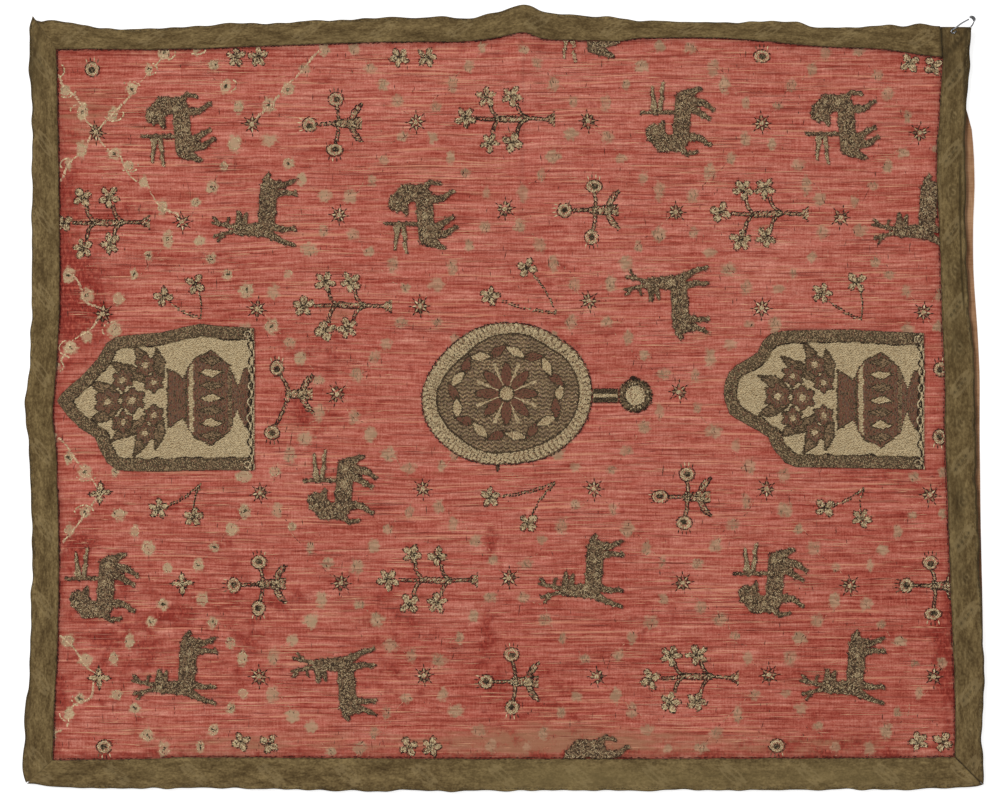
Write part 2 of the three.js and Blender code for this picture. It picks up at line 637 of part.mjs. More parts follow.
function pinHole(geometry) {
  const drill = new THREE.CylinderGeometry(pin.hole / 2, pin.hole / 2, 20, 8).rotateX(Math.PI / 2);
  drill.scale(1.6, 1, 1).translate(pin.coilX + 3, pin.coilY + 0.1, ribbonTop);
  return geometryOf(solidOf(geometry).subtract(solidOf(drill)));
}

// The finished part
const group = new THREE.Group();

function add(name, geometry, material) {
  const mesh = new THREE.Mesh(geometry, material);
  mesh.name = name;
  group.add(mesh);
  return mesh;
}

add("lining", pinHole(makeLining()), materials.lining);
add("field", makeGround(), materials.ground);
for (const side of ["left", "top", "bottom"]) {
  add(`border_${side}`, makeRibbon(side), materials.ribbon);
}
add("border_right", pinHole(makeRibbon("right")), materials.ribbon);

for (const [side, { x, y, edge }] of Object.entries(panels)) {
  const mesh = add(`arch_panel_${side}`, makeArchPanel(edge), materials.panel);
  mesh.rotation.z = Math.PI / 2;
  mesh.position.set(x, y, 0);
}
add("medallion", makeRing(medallion, 48), materials.medallion).position.set(2.1, 3.8, 0);
add("link", makeLink(), materials.medallion).position.set(81.3, 2.2, 0);
add("roundel", makeRing(roundel, 24), materials.medallion).position.set(105.3, 2.2, 0);

for (const [kind, strokes, places] of [["lion", lionStrokes, lions], ["stag", stagStrokes, stags]]) {
  const animal = makeAnimal(strokes);
  places.forEach((place, index) => {
    const placed = placeMotif(animal, place);
    const solid = place.cut ? cutAtSeams(placed) : placed;
    add(`${kind}_${index + 1}`, drape(geometryOf(solid)), materials.animal);
  });
}

add("pin_wire", makePinWire(), materials.steel);
add("pin_cap", makePinCap(), materials.steel);

export default group;
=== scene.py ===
# A worn red cloth hanging laid out flat and seen from straight above.
# Sizes of the cloth are millimetres, and make_mesh turns them into metres. Sizes in the
# materials, the floor and the lights are metres.
import math
from functools import partial
import bpy
import numpy as np
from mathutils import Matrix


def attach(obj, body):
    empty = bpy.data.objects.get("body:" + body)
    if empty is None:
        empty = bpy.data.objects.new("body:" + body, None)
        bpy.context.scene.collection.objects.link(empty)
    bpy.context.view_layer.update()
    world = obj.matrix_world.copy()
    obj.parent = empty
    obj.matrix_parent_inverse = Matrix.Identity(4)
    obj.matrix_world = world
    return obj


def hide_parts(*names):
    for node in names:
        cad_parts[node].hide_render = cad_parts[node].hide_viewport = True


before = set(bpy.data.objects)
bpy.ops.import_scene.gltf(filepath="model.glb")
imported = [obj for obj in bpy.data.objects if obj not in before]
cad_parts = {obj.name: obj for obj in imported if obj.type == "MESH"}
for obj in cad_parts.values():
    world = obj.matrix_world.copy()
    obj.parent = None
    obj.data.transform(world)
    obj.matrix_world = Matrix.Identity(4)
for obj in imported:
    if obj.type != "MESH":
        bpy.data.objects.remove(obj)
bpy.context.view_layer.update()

MM = 0.001

# Layers of the cloth, as in the solids
LINING_TOP = 1.0
GROUND_TOP = 2.7
RIBBON_BOTTOM = 3.0
RIBBON_TOP = 4.2
HEM_BOTTOM = 1.3
HEM_WIDTH = 5.0
HEM_EDGE_DROP = 0.6
PLATE_BOTTOM = 3.0
PLATE_TOP = 3.8
BAND_TOP = 4.3
FLAT_BELOW = 0.3

# Outer edge and seam of the ribbon on each side. Columns: place along the side, how far out.
TOP_EDGE = [
    (-377, 305.8), (-373.5, 301.2), (-364, 302.1), (-349, 301.5), (-336, 298.2), (-301, 295.4),
    (-225, 299.4), (-173, 301), (-122, 303.4), (-59, 305.3), (-24, 304.7), (-6, 309), (6, 312.5),
    (17, 314.2), (30, 310.4), (53, 306.9), (90, 304.7), (110, 302), (190, 301.2), (234, 301),
    (246, 297.2), (317, 298.6), (333, 299.7), (345, 297.4), (374, 296.7),
]
BOTTOM_EDGE = [
    (-382, -308), (-371, -309.9), (-352, -311), (-303, -312.8), (-250, -311.8), (-122, -314.2),
    (-3, -314.2), (317, -313.2), (353, -312.2), (377, -311.1), (384, -309.5),
]
LEFT_EDGE = [
    (-308, -382), (-292, -384.6), (-262, -383.2), (-241, -382.4), (-230, -380), (-180, -379),
    (-124, -377.5), (-65, -379.5), (-32, -381), (-17, -382.5), (-3, -382.8), (14, -381),
    (42, -379), (78, -378), (166, -377.5), (242, -378), (263, -380), (288, -379), (297, -379.5),
    (306, -377),
]
RIGHT_EDGE = [
    (-309.5, 383.5), (-293, 383.8), (-260, 382.5), (-232, 384.6), (-180, 383), (-97, 379.5),
    (-44, 378), (11, 377.5), (45, 375), (78, 372.5), (109, 370.5), (154, 369.5), (232, 370),
    (267, 372.5), (297, 373.5),
]
TOP_SEAM = [
    (-358, 279.5), (-260, 279.5), (-173, 282.6), (-97, 285), (-37, 285.4), (-16, 287),
    (5, 290.6), (17, 292), (32, 287.6), (58, 286.5), (90, 286), (109, 288), (175, 288.2),
    (252, 281.8), (303, 279.4), (332, 275.3), (351, 272.7),
]
BOTTOM_SEAM = [
    (-361, -289.4), (-303, -289), (-250, -287.4), (-148, -287.8), (-3, -288.6), (317, -287.8),
    (361, -287),
]
LEFT_SEAM = [
    (-289, -361), (-241, -359.5), (-206, -357.5), (-129, -356), (-40, -358.5), (-13, -361),
    (7, -359.5), (42, -357), (78, -355.5), (166, -356), (280, -358),
]
RIGHT_SEAM = [
    (-289, 361), (-241, 361), (-155, 357.6), (-78, 355), (-28, 353), (17, 353), (56, 351),
    (120, 349), (187, 346.6), (232, 349), (273, 351), (297, 349),
]
# How far the lining shows past the ribbon's right edge
LINING_PAST = [
    (-309, -1.6), (-215, -1.6), (-190, 0.4), (-97, 2.6), (-56, 3.4), (0, 3.6), (50, 5.2),
    (98, 5.4), (137, 6.2), (176, 7.6), (218, 4.8), (238, -1.6), (297, -1.6),
]
# Where the cloth is off the surface. Columns: x, y, half width in x and in y, height.
FOLDS = [
    (17, 330, 13, 78, 6.2), (-60, 306, 46, 20, 2.0), (104, 309, 32, 15, 2.4),
    (226, 301, 24, 20, 2.2), (-152, 303, 30, 16, 1.2), (-370, 304, 20, 18, 3.4),
    (333, 300, 18, 16, 2.0), (372, 298, 26, 22, 3.2), (-384, -8, 16, 38, 2.0),
    (-384, -252, 16, 42, 1.8), (370, 168, 16, 70, 1.8), (384, -222, 16, 48, 1.6),
]

# The photograph's scale, and the place under its pixel (x, y)
MM_PER_PIXEL = 0.8
MIDDLE_PIXEL = (503.85, 398.3)


def spot(px, py):
    """The place on the cloth under a pixel of the photograph."""
    return (px - MIDDLE_PIXEL[0]) * MM_PER_PIXEL, (MIDDLE_PIXEL[1] - py) * MM_PER_PIXEL


def through(rows):
    """A smooth function through the rows of a table, flat past its ends."""
    table = np.array(rows, float)
    at, out = table[:, 0], table[:, 1]
    before = np.maximum(np.arange(len(at)) - 1, 0)
    after = np.minimum(np.arange(len(at)) + 1, len(at) - 1)
    slope = (out[after] - out[before]) / (at[after] - at[before])

    def value(t):
        t = np.clip(np.asarray(t, float), at[0], at[-1])
        i = np.clip(np.searchsorted(at, t, side="right") - 1, 0, len(at) - 2)
        span = at[i + 1] - at[i]
        s = (t - at[i]) / span
        start = (1 + 2 * s) * (1 - s) ** 2 * out[i] + s * (1 - s) ** 2 * span * slope[i]
        end = s * s * (3 - 2 * s) * out[i + 1] - s * s * (1 - s) * span * slope[i + 1]
        return start + end

    return value


top_edge, bottom_edge = through(TOP_EDGE), through(BOTTOM_EDGE)
left_edge, right_edge = through(LEFT_EDGE), through(RIGHT_EDGE)
top_seam, bottom_seam = through(TOP_SEAM), through(BOTTOM_SEAM)
left_seam, right_seam = through(LEFT_SEAM), through(RIGHT_SEAM)
lining_past = through(LINING_PAST)


def lift(x, y):
    """How far the folds raise the cloth."""
    total = np.zeros(np.broadcast(x, y).shape)
    for fold_x, fold_y, half_x, half_y, height in FOLDS:
        total += height * np.exp(-(((x - fold_x) / half_x) ** 2) - ((y - fold_y) / half_y) ** 2)
    return np.maximum(0, total - FLAT_BELOW)


def waves(x, y, size, seed):
    """Smooth uneven noise from a few sines, about -1 to 1, with features of the given size."""
    rng = np.random.default_rng(seed)
    turns = rng.uniform(0, 2 * np.pi, 6)
    phases = rng.uniform(0, 6, 6)
    stretches = rng.uniform(0.7, 1.6, 6)
    total = 0
    for turn, phase, stretch in zip(turns, phases, stretches):
        along = x * np.cos(turn) + y * np.sin(turn)
        total = total + np.sin(along * stretch * np.pi / size + phase)
    return total / 3


def smooth(low, high, value):
    t = np.clip((value - low) / (high - low), 0, 1)
    return t * t * (3 - 2 * t)


def rotated(u, v, turn):
    cos, sin = np.cos(turn), np.sin(turn)
    return u * cos - v * sin, u * sin + v * cos


# Colours

# How much light falls on the cloth, so that a colour looks as it is written here
LIGHT_LEVEL = 1.1


def srgb(r, g, b):
    """A colour as it looks on screen, 0 to 255, as the linear value of its surface."""
    c = np.array([r, g, b], float) / 255
    return np.where(c <= 0.04045, c / 12.92, ((c + 0.055) / 1.055) ** 2.4) / LIGHT_LEVEL


def grey(level):
    return np.full(3, level)


CREAM = srgb(222, 200, 158)
STRAW = srgb(190, 166, 126)
TAN = srgb(162, 130, 98)
GREY_BROWN = srgb(118, 96, 72)
DARK_BROWN = srgb(50, 36, 25)
MADDER = srgb(124, 72, 58)
OLIVE = srgb(104, 87, 56)
OLIVE_DARK = srgb(66, 55, 34)
OLIVE_LIGHT = srgb(128, 110, 76)
CRIMSON = srgb(118, 46, 38)
OLIVE_THREAD = srgb(92, 86, 60)


# Materials

class Shader:
    """Builds one node material; each helper returns an output socket."""

    def __init__(self, name):
        self.material = bpy.data.materials.new(name)
        self.material.use_nodes = True
        self.nodes = self.material.node_tree.nodes
        self.links = self.material.node_tree.links
        self.surface = self.nodes["Principled BSDF"]

    def put(self, socket, value):
        if isinstance(value, bpy.types.NodeSocket):
            self.links.new(value, socket)
        else:
            socket.default_value = value

    def math(self, operation, a, b):
        node = self.nodes.new("ShaderNodeMath")
        node.operation = operation
        self.put(node.inputs[0], a)
        self.put(node.inputs[1], b)
        return node.outputs[0]

    def attribute(self, name, output="Fac"):
        node = self.nodes.new("ShaderNodeAttribute")
        node.attribute_name = name
        return node.outputs[output]

    def place(self):
        return self.nodes.new("ShaderNodeTexCoord").outputs["Object"]

    def place_parts(self):
        split = self.nodes.new("ShaderNodeSeparateXYZ")
        self.links.new(self.place(), split.inputs[0])
        return split.outputs

    def noise(self, at, scale, detail, rough):
        node = self.nodes.new("ShaderNodeTexNoise")
        self.links.new(at, node.inputs["Vector"])
        node.inputs["Scale"].default_value = scale
        node.inputs["Detail"].default_value = detail
        node.inputs["Roughness"].default_value = rough
        return node.outputs["Fac"]

    def grain(self, scale, detail=3, rough=0.5):
        """Even noise through the piece, with this many features to a metre."""
        return self.noise(self.place(), scale, detail, rough)

    def woven(self, along, across, long, wide, seed, detail=2, rough=0.5):
        """Noise with features of this length along the threads and this width across them."""
        at = self.nodes.new("ShaderNodeCombineXYZ")
        self.put(at.inputs[0], self.math("DIVIDE", along, long))
        self.put(at.inputs[1], self.math("DIVIDE", across, wide))
        self.put(at.inputs[2], seed)
        return self.noise(at.outputs[0], 1.0, detail, rough)

    def ramp(self, value, stops):
        node = self.nodes.new("ShaderNodeValToRGB")
        elements = node.color_ramp.elements
        while len(elements) < len(stops):
            elements.new(0.5)
        for element, (position, colour) in zip(elements, stops):
            element.position = position
            element.color = (*colour, 1)
        self.links.new(value, node.inputs[0])
        return node.outputs[0]

    def weighted(self, offset, *terms):
        """A sum of values times their weights, from a starting offset."""
        total = offset
        for value, weight in terms:
            total = self.math("ADD", self.math("MULTIPLY", value, weight), total)
        return total

    def step(self, value, low, high):
        node = self.nodes.new("ShaderNodeMapRange")
        node.interpolation_type = "SMOOTHSTEP"
        self.links.new(value, node.inputs["Value"])
        node.inputs["From Min"].default_value = low
        node.inputs["From Max"].default_value = high
        return node.outputs["Result"]

    def mix(self, factor, a, b, kind="MIX"):
        node = self.nodes.new("ShaderNodeMix")
        node.data_type = "RGBA"
        node.blend_type = kind
        self.put(node.inputs[0], factor)
        self.put(node.inputs[6], (*a, 1) if isinstance(a, np.ndarray) else a)
        self.put(node.inputs[7], (*b, 1) if isinstance(b, np.ndarray) else b)
        return node.outputs[2]

    def tint(self, colour, mask, amount, dye, kind="MIX"):
        """The colour with a dye laid over it where the mask is 1, at this strength."""
        return self.mix(self.math("MULTIPLY", mask, amount), colour, dye, kind)

    def finish(self, colour, roughness, height=None, depth=0.0003, sheen=0.0, metallic=0.0):
        self.put(self.surface.inputs["Base Color"], colour)
        self.put(self.surface.inputs["Roughness"], roughness)
        self.surface.inputs["Metallic"].default_value = metallic
        self.surface.inputs["Specular IOR Level"].default_value = 0.5 if metallic else 0.08
        self.surface.inputs["Sheen Weight"].default_value = sheen
        self.surface.inputs["Sheen Roughness"].default_value = 0.5
        if height is not None:
            bump = self.nodes.new("ShaderNodeBump")
            bump.inputs["Strength"].default_value = 0.6
            bump.inputs["Distance"].default_value = depth
            self.links.new(height, bump.inputs["Height"])
            self.links.new(bump.outputs[0], self.surface.inputs["Normal"])
        return self.material


def ground_material():
    """Bare weft in streaks, worn pile, faded leaf spots and a few paler threads."""
    s = Shader("ground_cloth")
    woven = partial(s.woven, s.place_parts()[0], s.attribute("weft"))
    line, fine, wide = woven(0.06, 0.0017, 0), woven(0.012, 0.0024, 2), woven(0.09, 0.008, 5)
    warp, grain = woven(0.0012, 0.014, 3), woven(0.0013, 0.0013, 8)
    tone = s.weighted(-0.19, (line, 0.42), (fine, 0.32), (wide, 0.2), (warp, 0.2), (grain, 0.28),
                      (s.attribute("pale"), 0.03))
    colour = s.ramp(tone, [
        (0.30, srgb(104, 33, 24)), (0.40, srgb(143, 61, 48)), (0.50, srgb(167, 89, 73)),
        (0.60, srgb(187, 115, 99)), (0.72, srgb(212, 148, 127)),
    ])
    bright = s.step(woven(0.11, 0.0019, 9, detail=1), 0.61, 0.68)
    colour = s.tint(colour, bright, 0.5, srgb(212, 154, 122))
    deep = s.step(woven(0.09, 0.0018, 17, detail=1), 0.61, 0.69)
    colour = s.tint(colour, deep, 0.68, srgb(122, 46, 36))
    rosy = s.step(woven(0.045, 0.0032, 23, detail=3, rough=0.6), 0.42, 0.62)
    colour = s.tint(colour, rosy, 0.5, np.array([1.0, 0.74, 0.76]), "MULTIPLY")
    dull = s.weighted(-0.2, (s.attribute("dull"), 1.0), (woven(0.03, 0.004, 27, detail=3), 1.0))
    colour = s.tint(colour, s.step(dull, 0.32, 0.9), 0.8, srgb(150, 106, 80))
    tuft = woven(0.0020, 0.0046, 12, detail=3, rough=0.7)
    patch = woven(0.013, 0.010, 4, detail=3, rough=0.65)
    pile = s.weighted(-1.2, (s.attribute("pile"), 1.0), (patch, 1.8), (tuft, 0.7), (grain, 0.3))
    pile = s.step(pile, 0.3, 0.8)
    pile_colour = s.ramp(s.weighted(0.0, (tuft, 0.7), (line, 0.3)), [
        (0.32, srgb(88, 20, 14)), (0.5, srgb(130, 42, 34)), (0.64, srgb(176, 90, 72)),
    ])
    colour = s.tint(colour, pile, 0.88, pile_colour)
    ragged = woven(0.0042, 0.0036, 15, detail=3, rough=0.65)
    blot = s.weighted(-0.8, (s.attribute("spot"), 1.0), (ragged, 1.6))
    blot = s.math("MULTIPLY", s.step(blot, 0.24, 0.68), s.attribute("spot_strength"))
    blot_colour = s.mix(s.attribute("spot_cream"), srgb(150, 118, 92), srgb(198, 176, 138))
    blot_colour = s.mix(s.step(fine, 0.4, 0.62), blot_colour, srgb(176, 140, 112))
    colour = s.mix(blot, colour, blot_colour)
    colour = s.mix(s.attribute("shade"), colour, srgb(70, 30, 22))
    relief = s.weighted(0.0, (line, 0.5), (fine, 0.3), (warp, 0.4), (pile, 0.5))
    return s.finish(colour, 0.92, relief, 0.0007, sheen=0.02)


def thread_material():
    """Stitches: each carries its own dye with painted light, lighter at the top of the stitch
    and darker at its sides and ends, and the yarn's fibres break it up.
    """
    s = Shader("thread")
    fibre = s.grain(2600, rough=0.6)
    level = s.ramp(fibre, [(0.3, grey(0.72)), (0.7, grey(1.0))])
    colour = s.mix(1.0, s.attribute("dye", "Color"), level, "MULTIPLY")
    return s.finish(colour, 0.75, fibre, 0.0002, sheen=0.1)


def ribbon_material():
    """Olive figured ribbon: soft dark mottling, a faint lighter figure, darker dots, and painted
    shade along its edges, in its lip groove and at its top right corner.
    """
    s = Shader("ribbon_cloth")
    woven = partial(s.woven, s.attribute("along"), s.attribute("across"))
    ribs, grain = woven(0.0011, 0.004, 0), woven(0.0016, 0.0014, 6)
    mottle = woven(0.026, 0.009, 3, detail=3, rough=0.6)
    wear = woven(0.006, 0.0035, 9, detail=3, rough=0.6)
    thread = woven(0.0032, 0.0015, 14, detail=3, rough=0.6)
    tone = s.weighted(-0.24, (mottle, 0.52), (wear, 0.38), (grain, 0.26), (thread, 0.32))
    colour = s.ramp(tone, [
        (0.34, srgb(68, 53, 30)), (0.44, srgb(87, 70, 42)), (0.53, srgb(106, 88, 56)),
        (0.66, srgb(132, 112, 74)),
    ])
    figure = s.step(s.weighted(-0.4, (s.attribute("figure"), 1.0), (grain, 0.8)), 0.2, 0.9)
    colour = s.tint(colour, figure, 0.42, srgb(138, 119, 83))
    # The dark values carry woven dots and mottling, and also painted shade at the edges and folds
    dark = s.step(s.weighted(-0.4, (s.attribute("dark"), 1.0), (grain, 0.8)), 0.15, 0.95)
    colour = s.tint(colour, dark, 0.75, srgb(50, 40, 22))
    colour = s.mix(s.attribute("light"), colour, srgb(128, 111, 72))
    relief = s.weighted(0.0, (ribs, 0.5), (figure, 0.4), (wear, 0.8))
    return s.finish(colour, 0.85, relief, 0.0006, sheen=0.05)


def lining_material():
    """Peach plain weave with soft stains."""
    s = Shader("lining_cloth")
    x, y, _ = s.place_parts()
    warp = s.woven(x, y, 0.0011, 0.012, 0)
    weft = s.woven(x, y, 0.012, 0.0011, 0)
    tone = s.weighted(-0.1, (warp, 0.3), (weft, 0.3), (s.grain(22, detail=4, rough=0.6), 0.6))
    colour = s.ramp(tone, [
        (0.36, srgb(128, 88, 58)), (0.5, srgb(154, 114, 82)), (0.64, srgb(178, 138, 104)),
    ])
    return s.finish(colour, 0.9, weft, 0.0002, sheen=0.05)


def padding_material(name, dark, light):
    """The padding under a raised piece, seen only between its stitches."""
    s = Shader(name)
    loops = s.grain(900, rough=0.6)
    colour = s.ramp(loops, [(0.35, dark), (0.65, light)])
    return s.finish(colour, 0.9, loops, 0.0003, sheen=0.1)


def steel_material():
    """Plated wire with fine scratches."""
    s = Shader("pin_steel")
    scratch = s.grain(900)
    roughness = s.math("ADD", s.math("MULTIPLY", scratch, 0.2), 0.18)
    colour = s.ramp(scratch, [(0.3, srgb(92, 92, 94)), (0.7, srgb(158, 158, 160))])
    return s.finish(colour, roughness, scratch, 0.00005, metallic=1.0)


def floor_material():
    """A white floor that glows a little, so that shadows on it stay as faint as in the photograph."""
    s = Shader("pale_floor")
    colour = s.ramp(s.grain(30), [(0.3, grey(0.58)), (0.7, grey(0.62))])
    s.surface.inputs["Emission Color"].default_value = (1, 1, 1, 1)
    s.surface.inputs["Emission Strength"].default_value = 0.62
    return s.finish(colour, 0.9)


MATERIALS = {
    "ground": ground_material(),
    "ribbon": ribbon_material(),
    "lining": lining_material(),
    "thread": thread_material(),
    # The animal padding is dark brown, which also paints the shade in the gaps between the stitches
    "padding": padding_material("animal_padding", srgb(60, 45, 31), srgb(112, 88, 64)),
    "backing": padding_material("piece_backing", srgb(78, 62, 42), srgb(132, 112, 82)),
    "steel": steel_material(),
    "floor": floor_material(),
}


# Meshes

def make_mesh(name, points, faces, material, floats=None, dyes=None, rounded=True):
    """A mesh object from points in millimetres, with its own values or dyes at each point."""
    points = np.asarray(points, float) * MM
    faces = np.asarray(faces, np.int32)
    mesh = bpy.data.meshes.new(name)
    mesh.vertices.add(len(points))
    mesh.vertices.foreach_set("co", points.ravel())
    mesh.loops.add(faces.size)
    mesh.loops.foreach_set("vertex_index", faces.ravel())
    mesh.polygons.add(len(faces))
    mesh.polygons.foreach_set("loop_start", np.arange(0, faces.size, faces.shape[1], dtype=np.int32))
    mesh.update(calc_edges=True)
    for key, values in (floats or {}).items():
        layer = mesh.attributes.new(key, "FLOAT", "POINT")
        layer.data.foreach_set("value", np.asarray(values, np.float32).ravel())
    if dyes is not None:
        # For stitches these dyes also carry painted light: lighter tops, darker sides and ends
        layer = mesh.attributes.new("dye", "FLOAT_COLOR", "POINT")
        rgba = np.ones((len(points), 4), np.float32)
        rgba[:, :3] = dyes
        layer.data.foreach_set("color", rgba.ravel())
    mesh.polygons.foreach_set("use_smooth", np.full(len(faces), rounded))
    mesh.materials.append(MATERIALS[material])
    piece = bpy.data.objects.new(name, mesh)
    bpy.context.scene.collection.objects.link(piece)
    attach(piece, "root")
    return piece


def grid_faces(count_u, count_v, closed_v=False):
    """Quads of a grid numbered u * count_v + v; closed_v joins the last v to the first."""
    u = np.arange(count_u - 1)[:, None]
    v = np.arange(count_v if closed_v else count_v - 1)[None, :]
    after = (v + 1) % count_v
    row, next_row = u * count_v, (u + 1) * count_v
    corners = [row + v, next_row + v, next_row + after, row + after]
    return np.stack([corner.ravel() for corner in corners], axis=1)


def fitted_grid(columns, rows, start, left, right, low, high):
    """Places of a grid between four uneven edges, each a function of the place along it. start
    says where the lowest and highest rows lie before the edges bend them."""
    s = np.linspace(0, 1, columns)[:, None]
    t = np.linspace(0, 1, rows)[None, :]
    y = np.broadcast_to(start[0] + t * (start[1] - start[0]), (columns, rows))
    for _ in range(3):
        x = left(y) + s * (right(y) - left(y))
        y = low(x) + t * (high(x) - low(x))
    return x, y


# Stitches: short closed grains of thread, gathered and made into one mesh

def scattered(rng, half_u, half_v, step):
    """Uneven places for stitches over a rectangle of these half sizes."""
    across = np.arange(-half_u, half_u + 0.1, step)
    up = np.arange(-half_v, half_v + 0.1, step * 0.8)
    u, v = np.meshgrid(across, up)
    u = (u + (np.arange(u.shape[0])[:, None] % 2) * step / 2).ravel()
    uneven = step * 0.11
    return u + rng.normal(0, uneven, u.size), v.ravel() + rng.normal(0, uneven, u.size)


class Stitches:
    """Gathers stitches, with random numbers of its own."""

    def __init__(self, seed):
        self.rng = np.random.default_rng(seed)
        self.rows = []

    def sew(self, x, y, angle, length, width, height, base, dye, keep=slice(None)):
        """Adds the stitches that keep picks; every other argument is one value or one a stitch."""
        x = np.atleast_1d(np.asarray(x, float))
        count = len(x)
        sizes = (y, angle, length, width, height, base)
        numbers = [np.broadcast_to(np.asarray(size, float), count) for size in sizes]
        dye = np.broadcast_to(np.asarray(dye, float), (count, 3))
        self.rows.append(np.column_stack([x, *numbers, dye])[keep])

    def make(self, name):
        """One mesh of all the stitches gathered."""
        rows = np.concatenate(self.rows)
        x, y, angle, length, width, height, base = rows[:, :7].T
        dye = rows[:, 7:]
        # Each stitch is a closed spindle: two ends, and the left, top and right of its middle
        along = np.array([-0.5, -0.06, 0.0, 0.06, 0.5])
        side = np.array([0, -0.5, 0, 0.5, 0])
        up = np.array([0.1, 0.08, 1.0, 0.08, 0.1])
        # Painted light: each stitch's dye is lighter at its top point and darker at its sides and ends
        level = np.array([0.92, 0.74, 1.2, 0.74, 0.92])
        shift_x, shift_y = rotated(along * length[:, None], side * width[:, None], angle[:, None])
        px, py = x[:, None] + shift_x, y[:, None] + shift_y
        pz = base[:, None] + up[None, :] * height[:, None] + lift(px, py)
        points = np.stack([px, py, pz], axis=2).reshape(-1, 3)
        dyes = (dye[:, None, :] * level[None, :, None]).reshape(-1, 3)
        pattern = np.array([(0, 1, 2), (0, 2, 3), (0, 3, 1), (4, 2, 1), (4, 3, 2), (4, 1, 3)])
        faces = (np.arange(len(rows))[:, None, None] * len(along) + pattern[None]).reshape(-1, 3)
        make_mesh(name, points, faces, "thread", dyes=dyes, rounded=False)

    def pick(self, dyes, weights, count, spread=0.18):
        """One of several dyes for each stitch, each a little lighter or darker."""
        chosen = self.rng.choice(len(dyes), count, p=np.array(weights) / sum(weights))
        return np.array(dyes)[chosen] * self.rng.uniform(1 - spread, 1 + spread, (count, 1))

    def path(self, points, pitch, length, width, height, base, dyes, weights, lean=0.0, skip=0.0):
        """Stitches in a row along a line of points."""
        points = np.asarray(points, float)
        reach = np.hypot(*np.diff(points, axis=0).T)
        far = np.concatenate([[0], np.cumsum(reach)])
        count = max(2, int(far[-1] / pitch))
        at = (np.arange(count) + 0.5) * far[-1] / count
        x = np.interp(at, far, points[:, 0])
        y = np.interp(at, far, points[:, 1])
        segment = np.clip(np.searchsorted(far, at) - 1, 0, len(reach) - 1)
        step = np.diff(points, axis=0)[segment]
        angle = np.arctan2(step[:, 1], step[:, 0]) + lean + self.rng.normal(0, 0.12, count)
        keep = self.rng.random(count) >= skip
        dye = self.pick(dyes, weights, count)
        jitter = self.rng.normal(0, width * 0.12, (2, count))
        self.sew(x + jitter[0], y + jitter[1], angle, length, width, height, base, dye, keep)


# Ground panel

GROUND_COLUMNS = 292
GROUND_ROWS = 244

# Stars of the repeat, in photo pixels
STARS = [
    (96, 132), (252, 124), (416, 122), (588, 121), (762, 123), (920, 133), (182, 222), (339, 215),
    (505, 209), (676, 212), (841, 217), (103, 314), (257, 309), (420, 306), (589, 301), (762, 308),
    (924, 312), (337, 394), (679, 392), (100, 493), (260, 493), (423, 489), (594, 489), (767, 489),
    (930, 495), (182, 584), (341, 583), (509, 578), (683, 583), (850, 586), (99, 678), (259, 677),
    (424, 676), (597, 677), (769, 675), (934, 677),
]
CROSS_STARS = [(100, 493), (182, 584), (99, 678)]
# Places of the repeat where the trellis turns, in photo pixels, under the ribbon or a piece
HIDDEN_TURNS = [
    (182, 30), (339, 30), (505, 28), (676, 28), (841, 34), (182, 766), (341, 768), (509, 768),
    (683, 768), (850, 766), (20, 222), (1000, 217), (182, 400), (505, 394), (841, 400),
    (20, 400), (20, 584), (1000, 586), (1000, 400), (20, 766), (20, 30),
]
# The lines of the repeat whose cream thread is whole
CREAM_VINES = [
    ((96, 132), (182, 30)), ((96, 132), (20, 30)), ((96, 132), (20, 222)), ((96, 132), (182, 222)),
    ((252, 124), (339, 30)), ((103, 314), (20, 222)), ((103, 314), (20, 400)), ((100, 493), (20, 400)),
    ((100, 493), (20, 584)), ((99, 678), (20, 584)), ((99, 678), (20, 766)),
]
SPOT_PARTS = (0.2, 0.4, 0.6, 0.8)
SPOT_RADIUS = 5.4

# Where pile is left, in photo pixels. Columns: x, y, half width, half height, amount.
PILE = [
    (82, 300, 30, 54, 0.75), (66, 200, 14, 80, 0.3), (115, 640, 46, 50, 0.38), (85, 545, 30, 34, 0.22),
    (150, 738, 60, 16, 0.15), (225, 600, 60, 44, 0.24), (170, 510, 50, 26, 0.26), (305, 415, 36, 26, 0.4),
    (300, 350, 50, 24, 0.3), (490, 545, 8, 20, 0.55), (488, 630, 8, 30, 0.5), (490, 690, 30, 40, 0.3),
    (943, 655, 14, 50, 0.6), (320, 610, 70, 60, 0.1), (540, 350, 60, 24, 0.25), (560, 690, 50, 40, 0.25),
    (215, 262, 30, 14, 0.25), (130, 215, 40, 20, 0.3), (905, 480, 40, 14, 0.3), (560, 765, 300, 10, 0.3),
    (400, 640, 40, 70, 0.24), (655, 640, 40, 26, 0.25), (840, 740, 100, 20, 0.25), (250, 670, 40, 20, 0.2),
    (174, 614, 20, 11, 0.45), (250, 638, 20, 11, 0.36), (80, 546, 14, 15, 0.4), (122, 588, 18, 10, 0.3),
    (290, 602, 20, 9, 0.3), (62, 700, 10, 20, 0.35), (210, 545, 26, 8, 0.3), (150, 655, 14, 18, 0.25),
]
# Lighter and, below 0, darker places of the ground, in the same columns
PALE = [
    (420, 80, 160, 60, 0.9), (760, 260, 140, 90, 0.8), (620, 440, 110, 60, 0.6), (880, 90, 80, 60, 0.2),
    (200, 90, 130, 60, 0.3), (640, 90, 120, 50, 0.7), (700, 560, 160, 60, 0.5), (250, 240, 60, 50, 0.3),
    (560, 260, 100, 60, 0.6), (900, 400, 60, 200, -0.3), (215, 240, 40, 20, 1.2), (280, 465, 40, 16, 2.0),
    (870, 130, 60, 26, 1.2), (520, 690, 80, 60, -1.6), (620, 600, 70, 70, -0.8), (150, 700, 30, 20, 1.2),
    (95, 578, 30, 24, 1.0), (780, 575, 40, 30, 0.8), (490, 555, 20, 20, 0.8), (240, 60, 40, 20, -1.0),
    (840, 640, 110, 110, -1.4), (85, 85, 44, 44, -1.4), (890, 560, 50, 40, -0.7),
]

